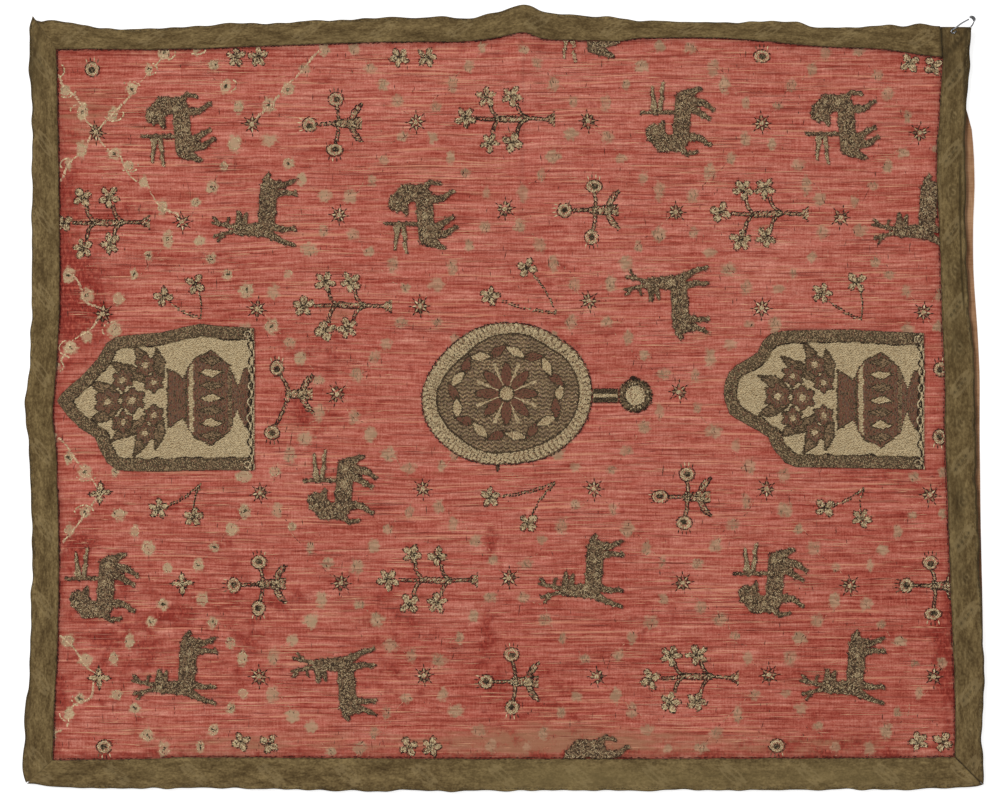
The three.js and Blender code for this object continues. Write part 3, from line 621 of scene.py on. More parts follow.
# Where the ground has lost its red, in the same columns
DULL = [
    (560, 744, 190, 13, 0.5), (550, 740, 70, 18, 0.35), (230, 746, 90, 13, 0.35), (85, 115, 34, 34, 0.3),
    (72, 215, 14, 30, 0.3), (820, 748, 90, 12, 0.3), (340, 312, 20, 14, 0.2), (430, 165, 40, 16, 0.15),
]


def soft_blobs(rows, x, y):
    """The sum of soft round blobs, given in photo pixels as in the tables above."""
    total = np.zeros(np.broadcast(x, y).shape)
    for px, py, half_x, half_y, amount in rows:
        bx, by = spot(px, py)
        near = ((x - bx) / (half_x * MM_PER_PIXEL)) ** 2 + ((y - by) / (half_y * MM_PER_PIXEL)) ** 2
        total += amount * np.exp(-near)
    return total


def trellis_lines():
    """The lines of the repeat: each joins two neighbouring turns, in photo pixels."""
    turns = STARS + HIDDEN_TURNS
    lines = []
    for i, a in enumerate(turns):
        for b in turns[i + 1:]:
            if 50 < abs(a[0] - b[0]) < 120 and 60 < abs(a[1] - b[1]) < 125:
                lines.append((a, b))
    return lines


def creamy(px, py):
    """How much cream thread a spot keeps: most at the left side, and furthest in at its top."""
    reach = 225 + 130 * (1 - smooth(130, 280, py))
    return float(np.clip((reach - px) / 170, 0, 1) * (0.75 + 0.25 * np.cos(py / 62)))


def trellis_spots():
    """Faded leaf spots along the lines. Columns: x, y, radius, strength, stretch, cream."""
    rng = np.random.default_rng(21)
    spots = []
    for a, b in trellis_lines():
        for part in SPOT_PARTS:
            px = a[0] + (b[0] - a[0]) * part + rng.normal(0, 2.4)
            py = a[1] + (b[1] - a[1]) * part + rng.normal(0, 2.4)
            x, y = spot(px, py)
            kept = 0.5 * (1 - smooth(200, 430, px))
            cream = max(creamy(px, py), kept) * rng.uniform(0.6, 1.0)
            strength = min(1.0, rng.uniform(0.62, 1.0) + 0.35 * cream)
            radius = SPOT_RADIUS * rng.uniform(0.7, 1.15)
            spots.append((x, y, radius, strength, rng.uniform(0.75, 1.15), cream))
    return np.array(spots)


# Where the ground is puckered, so that its threads run aside. Columns: x and y in photo pixels,
# half width, half height and how far aside, in millimetres
PUCKERS = [
    (200, 250, 40, 34, 2.6), (300, 330, 40, 20, -1.6), (505, 150, 34, 40, 1.8),
    (640, 300, 40, 26, -1.2), (470, 620, 60, 30, 1.4), (860, 200, 50, 26, 1.2),
    (590, 480, 60, 24, -1.2), (250, 560, 50, 40, 1.4), (780, 640, 70, 30, -1.0),
]


def weft_line(x, y):
    """Which weft thread runs through a place: y, bent by puckers and drawn in at the animals."""
    weft = y + 1.2 * waves(x, y, 150, 8) + 0.5 * waves(x, y * 2, 50, 9)
    for px, py, half_x, half_y, aside in PUCKERS:
        pucker_x, pucker_y = spot(px, py)
        near = np.exp(-((x - pucker_x) / half_x) ** 2 - ((y - pucker_y) / half_y) ** 2)
        weft = weft + aside * near
    for motif_x, motif_y, _ in LIONS + STAGS:
        near = np.exp(-((x - motif_x) ** 2 + (y - motif_y) ** 2) / 30 ** 2)
        weft = weft - 0.07 * (y - motif_y) * near
    return weft


def spot_values(spots, x, y):
    """The ground's values for its faded spots: a cone over each, its strength and its cream."""
    cone = np.zeros(x.shape)
    strength = np.zeros(x.shape)
    cream = np.zeros(x.shape)
    for sx, sy, size, amount, stretch, pale_thread in spots:
        i = np.searchsorted(x[:, 0], [sx - 14, sx + 14])
        j = np.searchsorted(y[0], [sy - 14, sy + 14])
        part = (slice(max(i[0] - 2, 0), i[1] + 2), slice(max(j[0] - 3, 0), j[1] + 3))
        near = np.hypot((x[part] - sx) / stretch, (y[part] - sy) * stretch) / size
        cone[part] = np.maximum(cone[part], np.clip(1.5 - near, 0, 1) / 1.5 * 1.2)
        strength[part] = np.where(near < 1.7, amount, strength[part])
        cream[part] = np.where(near < 1.7, pale_thread, cream[part])
    return cone, strength, cream


def make_ground(spots):
    """The red cloth, its edge under the ribbon, with the values that its material reads."""
    x, y = fitted_grid(
        GROUND_COLUMNS, GROUND_ROWS, (-305, 300),
        lambda y: left_edge(y) + HEM_WIDTH, lambda y: right_edge(y) - HEM_WIDTH,
        lambda x: bottom_edge(x) + HEM_WIDTH, lambda x: top_edge(x) - HEM_WIDTH,
    )
    ripple = 0.12 * waves(x, y * 2.5, 60, 3) + 0.05 * waves(x, y * 4, 22, 4)
    z = GROUND_TOP + lift(x, y) + ripple
    cone, strength, cream = spot_values(spots, x, y)
    from_seam = np.minimum.reduce([
        x - left_seam(y), right_seam(y) - x, y - bottom_seam(x), top_seam(x) - y,
    ])
    # Painted shade along the seams, by the ribbon's edge
    shade = 0.5 * np.exp(-np.maximum(from_seam, 0) / 2.2)
    # Painted shade along an old fold that runs down from the pointed top edge
    from_fold = x - 14.5 - 1.2 * np.sin(y / 30)
    shade = shade + 0.2 * np.exp(-(from_fold / 1.6) ** 2) * smooth(110, 180, y)
    floats = {
        "weft": weft_line(x, y) * MM,
        "pile": soft_blobs(PILE, x, y) + 0.25 * np.exp(-np.maximum(from_seam, 0) / 10),
        "pale": soft_blobs(PALE, x, y),
        "dull": soft_blobs(DULL, x, y),
        "spot": cone,
        "spot_strength": strength,
        "spot_cream": cream,
        "shade": shade,
    }
    points = np.stack([x, y, z], axis=2).reshape(-1, 3)
    faces = grid_faces(GROUND_COLUMNS, GROUND_ROWS)
    piece = make_mesh("ground_cloth", points, faces, "ground", floats=floats)
    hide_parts("field")


def make_lining():
    """A closed sheet under the ground, thin at its rim."""
    columns, rows = 64, 54
    inset = 1.6
    last_x = 374
    x, y = fitted_grid(
        columns, rows, (-308, 304),
        lambda y: left_edge(y) + inset, lambda y: right_edge(y) + lining_past(y),
        lambda x: bottom_edge(x) + inset, lambda x: top_edge(np.minimum(x, last_x)) - inset,
    )
    up = lift(x, y)
    sag = 0.12 * waves(x, y, 40, 14)
    rim = np.ones(x.shape, bool)
    rim[1:-1, 1:-1] = False
    top = np.stack([x, y, np.where(rim, 0.55, LINING_TOP - 0.12 + sag) + up], axis=2)
    under = np.stack([x, y, np.where(rim, 0.45, 0.0) + up], axis=2)
    points = np.concatenate([top.reshape(-1, 3), under.reshape(-1, 3)])
    faces = grid_faces(columns, rows)
    lower = faces[:, ::-1] + columns * rows
    ring = np.concatenate([
        np.arange(columns) * rows, (columns - 1) * rows + np.arange(1, rows),
        np.arange(columns - 2, -1, -1) * rows + rows - 1, np.arange(rows - 2, 0, -1),
    ])
    after = np.roll(ring, -1)
    walls = np.stack([ring, ring + columns * rows, after + columns * rows, after], axis=1)[:, ::-1]
    faces = np.concatenate([faces, lower, walls])
    piece = make_mesh("lining_cloth", points, faces, "lining")
    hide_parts("lining")


# Ribbon border

FIGURE_PITCH = 61.6
RIBBON_STEP = 1.15
RIBBON_WIDTH = 24.0


def ribbon_figure(along, across):
    """The ribbon's woven figure and its dots: slanting leaf sprays and small rounds by turns,
    with lines along both edges. across is 0 at the seam and 1 at the outer edge."""
    s = np.mod(along, FIGURE_PITCH) - FIGURE_PITCH / 2
    t = (across - 0.5) * RIBBON_WIDTH
    figure = np.zeros(np.broadcast(s, t).shape)
    dots = np.zeros(figure.shape)
    u, v = rotated(s, t, -math.radians(38))
    leaf_long, leaf_wide = 9, 1.9
    for leaf_u, leaf_v in [(0, 2.2), (1, -2.2)]:
        ratio = np.hypot((u - leaf_u) / leaf_long, (v - leaf_v) / leaf_wide)
        figure = np.maximum(figure, np.exp(-((ratio - 1) * leaf_wide / 0.7) ** 2))
    for dot_u in (-7.5, -3, 1.5, 6):
        dots = np.maximum(dots, 0.8 * np.exp(-((u - dot_u) / 1.5) ** 2 - (v / 0.9) ** 2))
    far = np.abs(s) - FIGURE_PITCH / 2
    radius = np.hypot(far / 1.3, t)
    swirl = np.arctan2(t, far) * 0.9 + radius * 0.8
    figure = np.maximum(figure, 0.5 * (0.5 + 0.5 * np.sin(swirl * 2)) * np.exp(-(radius / 6.5) ** 2))
    dots = np.maximum(dots, 0.35 * (0.5 - 0.5 * np.sin(swirl * 2)) * np.exp(-(radius / 7.5) ** 2))
    edge = np.minimum(across, 1 - across) * RIBBON_WIDTH
    lines = 0.4 * np.exp(-((edge - 2.2) / 0.6) ** 2)
    return np.maximum(figure, lines), dots


# Each ribbon length: its seam and its outer edge with the ends of both, whether it runs up,
# how dark it is, how clear its figure is and where that starts, how dark its two ends are, and
# how wide the painted shade along its outer edge is.
RIBBONS = {
    "left": dict(
        seam=left_seam, seam_ends=(-289.4, 279.5), outer=left_edge, outer_ends=(-308.0, 305.8),
        upright=True, dark=0.05, figure=1.0, start=12, end_lines=(0.25, 0.05), rim=0.04),
    "right": dict(
        seam=right_seam, seam_ends=(-287.0, 297.0), outer=right_edge, outer_ends=(-309.5, 296.7),
        upright=True, dark=0.2, figure=1.7, start=20, end_lines=(0.9, 0.3), rim=0.06),
    "top": dict(
        seam=top_seam, seam_ends=(-358.0, 350.9), outer=top_edge, outer_ends=(-377.0, 348.9),
        upright=False, dark=0.0, figure=0.9, start=5, end_lines=(0.05, 0.5), rim=0.04),
    "bottom": dict(
        seam=bottom_seam, seam_ends=(-361.0, 361.0), outer=bottom_edge, outer_ends=(-382.0, 383.5),
        upright=False, dark=0.0, figure=1.1, start=33, end_lines=(0.25, 0.9), rim=0.04),
}
# Darker and lighter places of the ribbon, in the same columns as the pile. The darker ones are
# mottling, and at the top right corner painted shade down the folded outer edge of the right
# ribbon and along the corner's diagonal crease.
RIBBON_DARK = [
    (34, 62, 11, 44, 0.55), (28, 120, 5, 80, 0.35), (27, 690, 5, 90, 0.5), (941, 40, 3, 18, 0.6),
    (966, 75, 2.6, 58, 0.8), (954, 66, 9, 20, 0.35), (120, 775, 60, 12, 0.22), (60, 772, 26, 14, 0.2),
    (320, 38, 60, 10, 0.2), (200, 38, 30, 8, 0.2), (955, 330, 8, 40, 0.2), (958, 520, 8, 60, 0.2),
    (32, 440, 8, 30, 0.15), (440, 778, 40, 10, 0.15), (946, 60, 3, 30, 0.2), (945, 56, 3, 3, 0.5),
    (950, 50.5, 3, 3, 0.5), (955, 45, 3, 3, 0.5), (960, 39.5, 3, 3, 0.5), (965, 34, 3, 3, 0.45),
    (969, 30, 3, 3, 0.4),
]
RIBBON_LIGHT = [(620, 778, 130, 14, 0.5), (850, 776, 80, 14, 0.35), (42, 770, 20, 14, 0.2)]


def ribbon_place(side, s, t):
    """The place at s along a ribbon length and t across it, from seam to outer edge."""
    facts = RIBBONS[side]
    ends = (facts["seam_ends"], facts["outer_ends"])
    seam_at, outer_at = (start + s * (end - start) for start, end in ends)
    along = (1 - t) * seam_at + t * outer_at
    out = (1 - t) * facts["seam"](seam_at) + t * facts["outer"](outer_at)
    return (out, along) if facts["upright"] else (along, out)


def make_ribbon(side):
    """One ribbon length, folded round the edge of the cloth."""
    facts = RIBBONS[side]
    length = facts["outer_ends"][1] - facts["outer_ends"][0]
    count = int(length / RIBBON_STEP)
    gap = 0.1 / length
    s = np.linspace(gap, 1 - gap, count)[:, None]
    # Across the ribbon: up round the seam edge, over the face, round the outer edge, and back under
    face = np.linspace(0.045, 0.955, 22)
    t = np.concatenate([[0.02, 0.0, 0.012], face, [0.985, 1.0, 0.99, 0.95, 0.8, 0.4, 0.1]])
    z = np.concatenate([
        [RIBBON_BOTTOM + 0.05, RIBBON_BOTTOM + 0.3, RIBBON_TOP - 0.22], np.full(len(face), RIBBON_TOP),
        [RIBBON_TOP - 0.5, RIBBON_TOP - 1.2, HEM_BOTTOM + 0.2, HEM_BOTTOM + 0.25, RIBBON_BOTTOM + 0.03,
         RIBBON_BOTTOM + 0.02, RIBBON_BOTTOM + 0.02],
    ])
    top = (z > RIBBON_TOP - 0.3)[None, :]
    t, z = np.broadcast_to(t, (count, len(t))), np.broadcast_to(z, (count, len(z)))
    x, y = ribbon_place(side, s, t)
    ripple = 0.4 * waves(x, y, 9, 31) + 0.6 * waves(x, y, 20, 36)
    fray = ripple * np.where(t > 0.9, 1, 0) + 0.25 * waves(x, y, 14, 32) * np.where(t < 0.03, 1, 0)
    if facts["upright"]:
        x = x + fray
    else:
        y = y + fray
    along = (y if facts["upright"] else x) + facts["start"]
    figure, dots = ribbon_figure(along, t)
    crown = 0.25 * np.sin(np.pi * np.clip(t, 0, 1)) + 0.16 * waves(x, y, 26, 33)
    z = z - HEM_EDGE_DROP * smooth(0.8, 1.0, t) * top + np.where(top, crown + 0.14 * figure, 0)
    # The lip: a groove near the right ribbon's outer edge, real in its depth, painted shade in its colour
    lip = np.zeros(x.shape)
    if side == "right":
        inside = smooth(55, 85, y) * (1 - smooth(170, 215, y))
        lip = inside * np.exp(-(((right_edge(y) - x) - 4.6) / 0.8) ** 2)
        z = z - 0.7 * lip * top
    z = z + lift(x, y)
    # Dots and mottling, with painted shade in the lip groove, on the rolled outer edge and at the top right
    dark = facts["dark"] + 0.9 * lip + 0.65 * facts["figure"] * dots + soft_blobs(RIBBON_DARK, x, y)
    dark = dark + 0.85 * np.exp(-((t - 1.0) / facts["rim"]) ** 2) + 0.4 * np.exp(-(t / 0.03) ** 2)
    for from_end, amount in zip((s, 1 - s), facts["end_lines"]):
        dark = dark + amount * np.exp(-(from_end * length / 1.1) ** 2)
    floats = {
        "along": along * MM,
        "across": t * RIBBON_WIDTH * MM,
        "figure": figure * top * facts["figure"],
        "dark": dark,
        "light": np.clip(soft_blobs(RIBBON_LIGHT, x, y) + 0.05 * waves(x, y, 90, 35), 0, 1),
    }
    points = np.stack([x, y, z], axis=2).reshape(-1, 3)
    faces = grid_faces(count, points.shape[0] // count, closed_v=True)
    if side in ("right", "bottom"):
        faces = faces[:, ::-1]
    piece = make_mesh(f"ribbon_{side}", points, faces, "ribbon", floats=floats)
    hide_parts(f"border_{side}")


def sew_seams(sewing):
    """Dark stitches on the ground along the seam, seam stitching that also paints the shadow at
    the ribbon's edge, and stitches along both edges of the ribbon.
    """
    # Columns: place across the ribbon, dye, length, width, share that is left out
    rows = [
        # The two rows below 0 lie on the ground: dark seam stitching that also paints the ribbon edge's
        # shadow
        (-0.03, srgb(88, 28, 20), 3.4, 0.8, 0.25), (-0.045, DARK_BROWN, 1.8, 0.6, 0.72),
        (0.01, OLIVE_DARK, 2.6, 0.8, 0.5), (0.10, OLIVE_LIGHT, 1.9, 0.5, 0.45),
        (0.88, OLIVE_LIGHT, 2.1, 0.5, 0.4), (0.93, OLIVE_DARK, 2.0, 0.6, 0.4),
    ]
    for side, facts in RIBBONS.items():
        length = facts["seam_ends"][1] - facts["seam_ends"][0]
        for t, dye, size, width, skip in rows:
            count = int(length / (size * 1.1))
            s = (np.arange(count) + sewing.rng.uniform(0.3, 0.7, count)) / count
            x, y = ribbon_place(side, s, np.full(count, t))
            angle = (np.pi / 2 if facts["upright"] else 0) + sewing.rng.normal(0, 0.12, count)
            dyes = dye * sewing.rng.uniform(0.6, 1.15, (count, 1))
            base = GROUND_TOP + 0.05 if t < 0 else RIBBON_TOP - 0.12
            if t > 0.9:
                base = RIBBON_TOP - 0.4
            keep = sewing.rng.random(count) > skip
            sewing.sew(x, y, angle, size * 1.2, width, 0.4, base, dyes, keep)


def sew_joints(sewing):
    """Threads that close the joints between ribbon lengths, dark where the photograph shows a
    line."""
    joints = [
        ((350.6, 274.0), (348.9, 296.6), OLIVE_DARK, 1.3),
        ((362.0, -288.2), (382.4, -308.6), DARK_BROWN, 0.7),
        ((-359.4, 281.4), (-376.4, 304.4), OLIVE, 0.8),
        ((-362.2, -290.6), (-381.0, -306.8), OLIVE, 0.8),
    ]
    for start, end, dye, width in joints:
        sewing.path([start, end], 1.6, 2.4, width, 0.3, RIBBON_TOP + 0.1, [dye, dye * 0.85], [0.6, 0.4],
                    skip=0.05)


# Motifs, drawn upright in their own frame: u along and v up. Upright is the cloth's left.

LION = {
    "trunk": [(-19, -4, 6.2), (14, -2, 6.6)],
    "mane": [(17, 0, 6.2), (16.5, 12, 7.4), (9, 19, 7.2)],
    "face": [(9, 16, 5), (0.5, 12, 1.6)],
    "raised_leg": [(20, -2, 2.8), (25.5, -6.5, 1.9), (24, -15, 1.2)],
    "foreleg": [(12, -6, 3.6), (12, -16, 2.2), (18.5, -25.5, 1.4)],
    "far_hind_leg": [(-22, -6, 4), (-27, -18, 1.5)],
    "hind_leg": [(-16, -8, 4.6), (-16, -19, 2.6), (-10.5, -27.5, 1.5)],
    "near_hind_leg": [(-12, -9, 3.4), (-3, -24.5, 1.5)],
    "tail": [(-8, 0, 1.6), (-7.5, 29, 0.9)],
    "upper_tuft": [(-9, 19, 2.4), (-28, 21, 0.8)],
    "lower_tuft": [(-9, 14.5, 1.8), (-31, 12, 0.8)],
}
STAG = {
    "trunk": [(-14, -9, 6.4), (20, -11.5, 6.8)],
    "neck": [(-14, -4, 5.6), (-14, 10, 4.2)],
    "face": [(-14, 13, 3.8), (0, 12.5, 1.3)],
    "jaw": [(-12, 9, 2.6), (-1, 6.5, 1.2)],
    "far_antler": [(-15, 15, 1.5), (-19, 32, 1.1)],
    "far_tine": [(-17.8, 26, 1.1), (-23, 29, 0.9)],
    "near_antler": [(-12, 15, 1.5), (-8.5, 34, 1.1)],
    "low_tine": [(-10.5, 22, 1.1), (-5, 21, 0.9)],
    "high_tine": [(-9.2, 29, 1.1), (-4.5, 32, 0.9)],
    "far_foreleg": [(-17, -11, 3.6), (-23, -21, 2), (-26.5, -32, 1.4)],
    "foreleg": [(-11, -12, 3.4), (-13.5, -22, 2), (-13.5, -32, 1.4)],
    "far_hind_leg": [(15, -15, 3.4), (15.5, -24, 2), (15, -33, 1.4)],
    "hind_leg": [(22, -13, 4.2), (21.5, -23, 2.2), (25.5, -32, 1.4)],
    "tail": [(25, -8, 2.2), (30, -11.5, 1.4)],
}
# Lighter patches on the bodies. Columns: u, v, half width
LION_PATCHES = [(-16, -3, 2.6), (-3, -4, 2.4), (16, 3, 2.8), (10, 20, 1.6)]
STAG_PATCHES = [(-12, -4, 2.2), (0, -10, 2.0), (12, -12, 2.4), (-13, 13, 1.6)]
# Columns: x, y, facing
LIONS = [
    (-260.5, 217.5, 1), (271.5, 219.5, 1), (-66, 147.5, 1), (69, 301, 1), (74, -297, 1),
    (139.5, 221, -1), (-131, -73.5, -1), (-321.5, -152, -1), (214, -148, -1),
]
STAGS = [
    (-199.5, 149, 1), (329, 147.5, 1), (62, -140, 1), (-263.5, -217.5, 1), (271.5, -217.5, 1),
    (130.5, 78.5, -1), (-136, -227, -1),
]


def stroke_distance(strokes, u, v):
    """How far outside the strokes a place is; less than 0 is inside."""
    best = np.full(np.broadcast(u, v).shape, 1e9)
    for places in strokes.values():
        for (u1, v1, r1), (u2, v2, r2) in zip(places, places[1:]):
            du, dv = u2 - u1, v2 - v1
            part = np.clip(((u - u1) * du + (v - v1) * dv) / (du * du + dv * dv), 0, 1)
            far = np.hypot(u - u1 - part * du, v - v1 - part * dv)
            best = np.minimum(best, far - (r1 + (r2 - r1) * part))
    return best


def in_seams(x, y, margin=0.6):
    return (
        (x > left_seam(y) + margin) & (x < right_seam(y) - margin)
        & (y > bottom_seam(x) + margin) & (y < top_seam(x) - margin)
    )


def on_ground(x, y, margin=0.6):
    return in_seams(x, y, margin) & clear_of_pieces(x, y)


def turned(x, y, facing, u, v):
    """From a motif's own frame to the cloth."""
    return x - v, y + facing * u


def sew_animal(sewing, strokes, patches, plume, x, y, facing):
    """Short threads laid in slanting bands, lighter patches, and ragged dark ends round them."""
    u, v = scattered(sewing.rng, 36, 39, 1.06)
    wander = 0.9 * waves(u, v, 4, 91)
    far = stroke_distance(strokes, u, v) + wander
    inside = far < -0.3
    u1, v1 = u[inside], v[inside]
    count = len(u1)
    bands = np.sin(u1 * 0.55 + 1.4 * np.sin(v1 * 0.35)) + 0.5 * np.sin(v1 * 0.8 + u1 * 0.2)
    angle = np.where(bands > 0, 0.9, -0.7) + sewing.rng.normal(0, 0.22, count)
    dye = sewing.pick([CREAM, STRAW, TAN, GREY_BROWN, DARK_BROWN], [0.08, 0.2, 0.26, 0.18, 0.28], count)
    light = np.zeros(count, bool)
    for patch_u, patch_v, half in patches:
        shift_u, shift_v = sewing.rng.normal(0, 1.6, 2)
        near = np.hypot(u1 - patch_u - shift_u, v1 - patch_v - shift_v)
        light |= near < half * sewing.rng.uniform(0.3, 1.3)
    light |= plume & (u1 < -10) & (v1 > 11)
    bright = sewing.pick([CREAM, STRAW, TAN], [0.5, 0.35, 0.15], count)
    dye = np.where(light[:, None], bright, dye)
    px, py = turned(x, y, facing, u1, v1)
    length = sewing.rng.uniform(1.5, 2.4, count)
    turn = angle * facing + np.pi / 2
    sewing.sew(px, py, turn, length, 0.8, 0.6, PLATE_TOP - 0.12, dye, in_seams(px, py))
    edge = np.abs(far) < 0.7
    u2, v2, off = u[edge], v[edge], far[edge]
    slope_u, slope_v = (
        (stroke_distance(strokes, u2 + du, v2 + dv) - stroke_distance(strokes, u2 - du, v2 - dv)) / 0.4
        for du, dv in ((0.2, 0), (0, 0.2))
    )
    out = sewing.rng.uniform(-0.6, 0.45, len(u2))
    u2, v2 = u2 + slope_u * (out - off * 0.6), v2 + slope_v * (out - off * 0.6)
    along = np.arctan2(slope_u, -slope_v)
    angle = along + sewing.rng.choice([0.3, 0.9, -0.8], len(u2)) + sewing.rng.normal(0, 0.3, len(u2))
    px, py = turned(x, y, facing, u2, v2)
    in_tuft = plume & (u2 < -10) & (v2 > 11)
    keep = in_seams(px, py) & (sewing.rng.random(len(u2)) > np.where(in_tuft, 0.72, 0.5))
    dye = sewing.pick([DARK_BROWN * 0.8, DARK_BROWN, GREY_BROWN, TAN], [0.4, 0.3, 0.2, 0.1], len(u2))
    turn = angle * facing + np.pi / 2
    length = sewing.rng.uniform(1.3, 2.4, len(u2))
    sewing.sew(px, py, turn, length, 0.8, 0.6, PLATE_TOP - 0.35, dye, keep)


def ring_points(x, y, radius_x, radius_y, pitch):
    """Places and headings round an oval."""
    count = max(6, int(2 * np.pi * (radius_x + radius_y) / 2 / pitch))
    turn = np.arange(count) * 2 * np.pi / count
    px, py = x + radius_x * np.cos(turn), y + radius_y * np.sin(turn)
    angle = np.arctan2(radius_y * np.cos(turn), -radius_x * np.sin(turn))
    return px, py, angle


def fill_disc(sewing, x, y, radius_x, radius_y, turn, pitch, dyes, weights, base, along, width,
              length=1.7):
    """Stitches that fill an oval; along is their direction from the oval's middle line."""
    u, v = scattered(sewing.rng, radius_x, radius_y, pitch)
    keep = (u / radius_x) ** 2 + (v / radius_y) ** 2 < 1
    u, v = rotated(u[keep], v[keep], turn)
    dye = sewing.pick(dyes, weights, len(u))
    angle = turn + along + sewing.rng.normal(0, 0.2, len(u))
    sewing.sew(x + u, y + v, angle, length, width, 0.55, base, dye, in_seams(x + u, y + v))


SEWN = GROUND_TOP + 0.05


def sew_petal(sewing, x, y, long, wide, turn):
    """A petal of lengthwise cream and tan thread with a broken, uneven dark line round it."""
    fill_disc(sewing, x, y, long, wide, turn, 1.1, [CREAM, STRAW, TAN, GREY_BROWN, DARK_BROWN],
              [0.4, 0.28, 0.16, 0.1, 0.06], SEWN + 0.15, 0.0, width=1.05, length=2.2)
    px, py, angle = ring_points(0, 0, long + 0.4, wide + 0.4, 1.6)
    px, py = px + sewing.rng.normal(0, 0.35, len(px)), py + sewing.rng.normal(0, 0.35, len(py))
    u, v = rotated(px, py, turn)
    keep = (sewing.rng.random(len(u)) >= 0.18) & in_seams(x + u, y + v)
    dye = sewing.pick([DARK_BROWN * 0.85, DARK_BROWN, GREY_BROWN * 0.8], [0.4, 0.38, 0.22], len(u))
    angle = angle + turn + sewing.rng.normal(0, 0.35, len(u))
    length = sewing.rng.uniform(1.4, 2.6, len(u))
    sewing.sew(x + u, y + v, angle, length, 0.95, 0.55, SEWN + 0.3, dye, keep)


def sew_flower(sewing, x, y, size=1.0):
    """Four or five petals, each with its own dark line, that meet in the middle."""
    petals = sewing.rng.choice([4, 5, 5])
    start = sewing.rng.uniform(0, 2 * np.pi)
    for k in range(petals):
        turn = start + k * 2 * np.pi / petals + sewing.rng.normal(0, 0.1)
        reach = 4.5 * size * sewing.rng.uniform(0.92, 1.1)
        long = 3.3 * size * sewing.rng.uniform(0.85, 1.12)
        wide = (2.6 if petals == 4 else 2.2) * size * sewing.rng.uniform(0.85, 1.12)
        sew_petal(sewing, x + reach * math.cos(turn), y + reach * math.sin(turn), long, wide, turn)
    eye = 1.6 * size
    fill_disc(sewing, x, y, eye, eye, 0, 1.0, [STRAW, GREY_BROWN, DARK_BROWN], [0.3, 0.3, 0.4],
              SEWN + 0.4, 0.0, width=1.0, length=1.8)


def sew_ring(sewing, x, y, radius_x, radius_y, dyes, weights, base, lean=0.0, skip=0.1, pitch=1.35):
    """A ring of stitches; skip is the share that is lost."""
    px, py, angle = ring_points(x, y, radius_x, radius_y, pitch)
    px, py = px + sewing.rng.normal(0, 0.22, len(px)), py + sewing.rng.normal(0, 0.22, len(py))
    keep = (sewing.rng.random(len(px)) > skip) & in_seams(px, py)
    dye = sewing.pick(dyes, weights, len(px))
    angle = angle + lean + sewing.rng.normal(0, 0.2, len(px))
    sewing.sew(px, py, angle, 2.1, 1.0, 0.55, base, dye, keep)


ROUND_SIZE = 0.95


def sew_round_flower(sewing, x, y, outward):
    """A round or oval head: broken dark rim, two cream rings, dark eye and a small crown."""
    dark = [DARK_BROWN * 0.8, DARK_BROWN, GREY_BROWN]
    light = [CREAM, CREAM * 0.9, STRAW, TAN]
    stretch = sewing.rng.uniform(0.9, 1.14)
    wide, tall = ROUND_SIZE * stretch, ROUND_SIZE / stretch
    fill_disc(sewing, x, y, 5.4 * wide, 5.4 * tall, 0, 1.5, [CREAM * 0.9, STRAW, TAN],
              [0.4, 0.35, 0.25], SEWN - 0.1, 0.9, width=1.3)
    for radius, up in ((4.9, 0.15), (3.8, 0.2)):
        sew_ring(sewing, x, y, radius * wide, radius * tall, light, [0.42, 0.28, 0.2, 0.1], SEWN + up,
                 lean=sewing.rng.uniform(-0.6, 0.6), skip=0.06)
    eye_x, eye_y = x + sewing.rng.normal(0, 0.4), y + sewing.rng.normal(0, 0.4)
    eye = [DARK_BROWN, OLIVE_THREAD, GREY_BROWN, TAN]
    fill_disc(sewing, eye_x, eye_y, 2.7 * wide, 2.5 * tall, 0, 1.0, eye, [0.5, 0.25, 0.15, 0.1],
              SEWN + 0.3, 0.2, width=1.0)
    sew_ring(sewing, x, y, 6.3 * wide, 6.1 * tall, dark, [0.4, 0.32, 0.28], SEWN + 0.25, lean=0.25,
             skip=0.16)
    far = 8.6 * ROUND_SIZE
    for lean in (-0.6, -0.2, 0.2, 0.6):
        cx, cy = x + far * math.cos(outward + lean), y + far * math.sin(outward + lean)
        if in_seams(cx, cy):
            dye = sewing.pick([DARK_BROWN, CREAM, GREY_BROWN], [0.45, 0.35, 0.2], 1)
            sewing.sew(cx, cy, outward + lean * 0.4, 4.0, 1.1, 0.5, SEWN, dye)


def curve_between(a, b, bend, count=14):
    """Points from a to b, bowed sideways by bend."""
    t = np.linspace(0, 1, count)[:, None]
    a, b = np.array(a, float), np.array(b, float)
    side = np.array([-(b - a)[1], (b - a)[0]])
    side = side / max(np.hypot(*side), 1e-6)
    return a + (b - a) * t + side * bend * np.sin(np.pi * t)


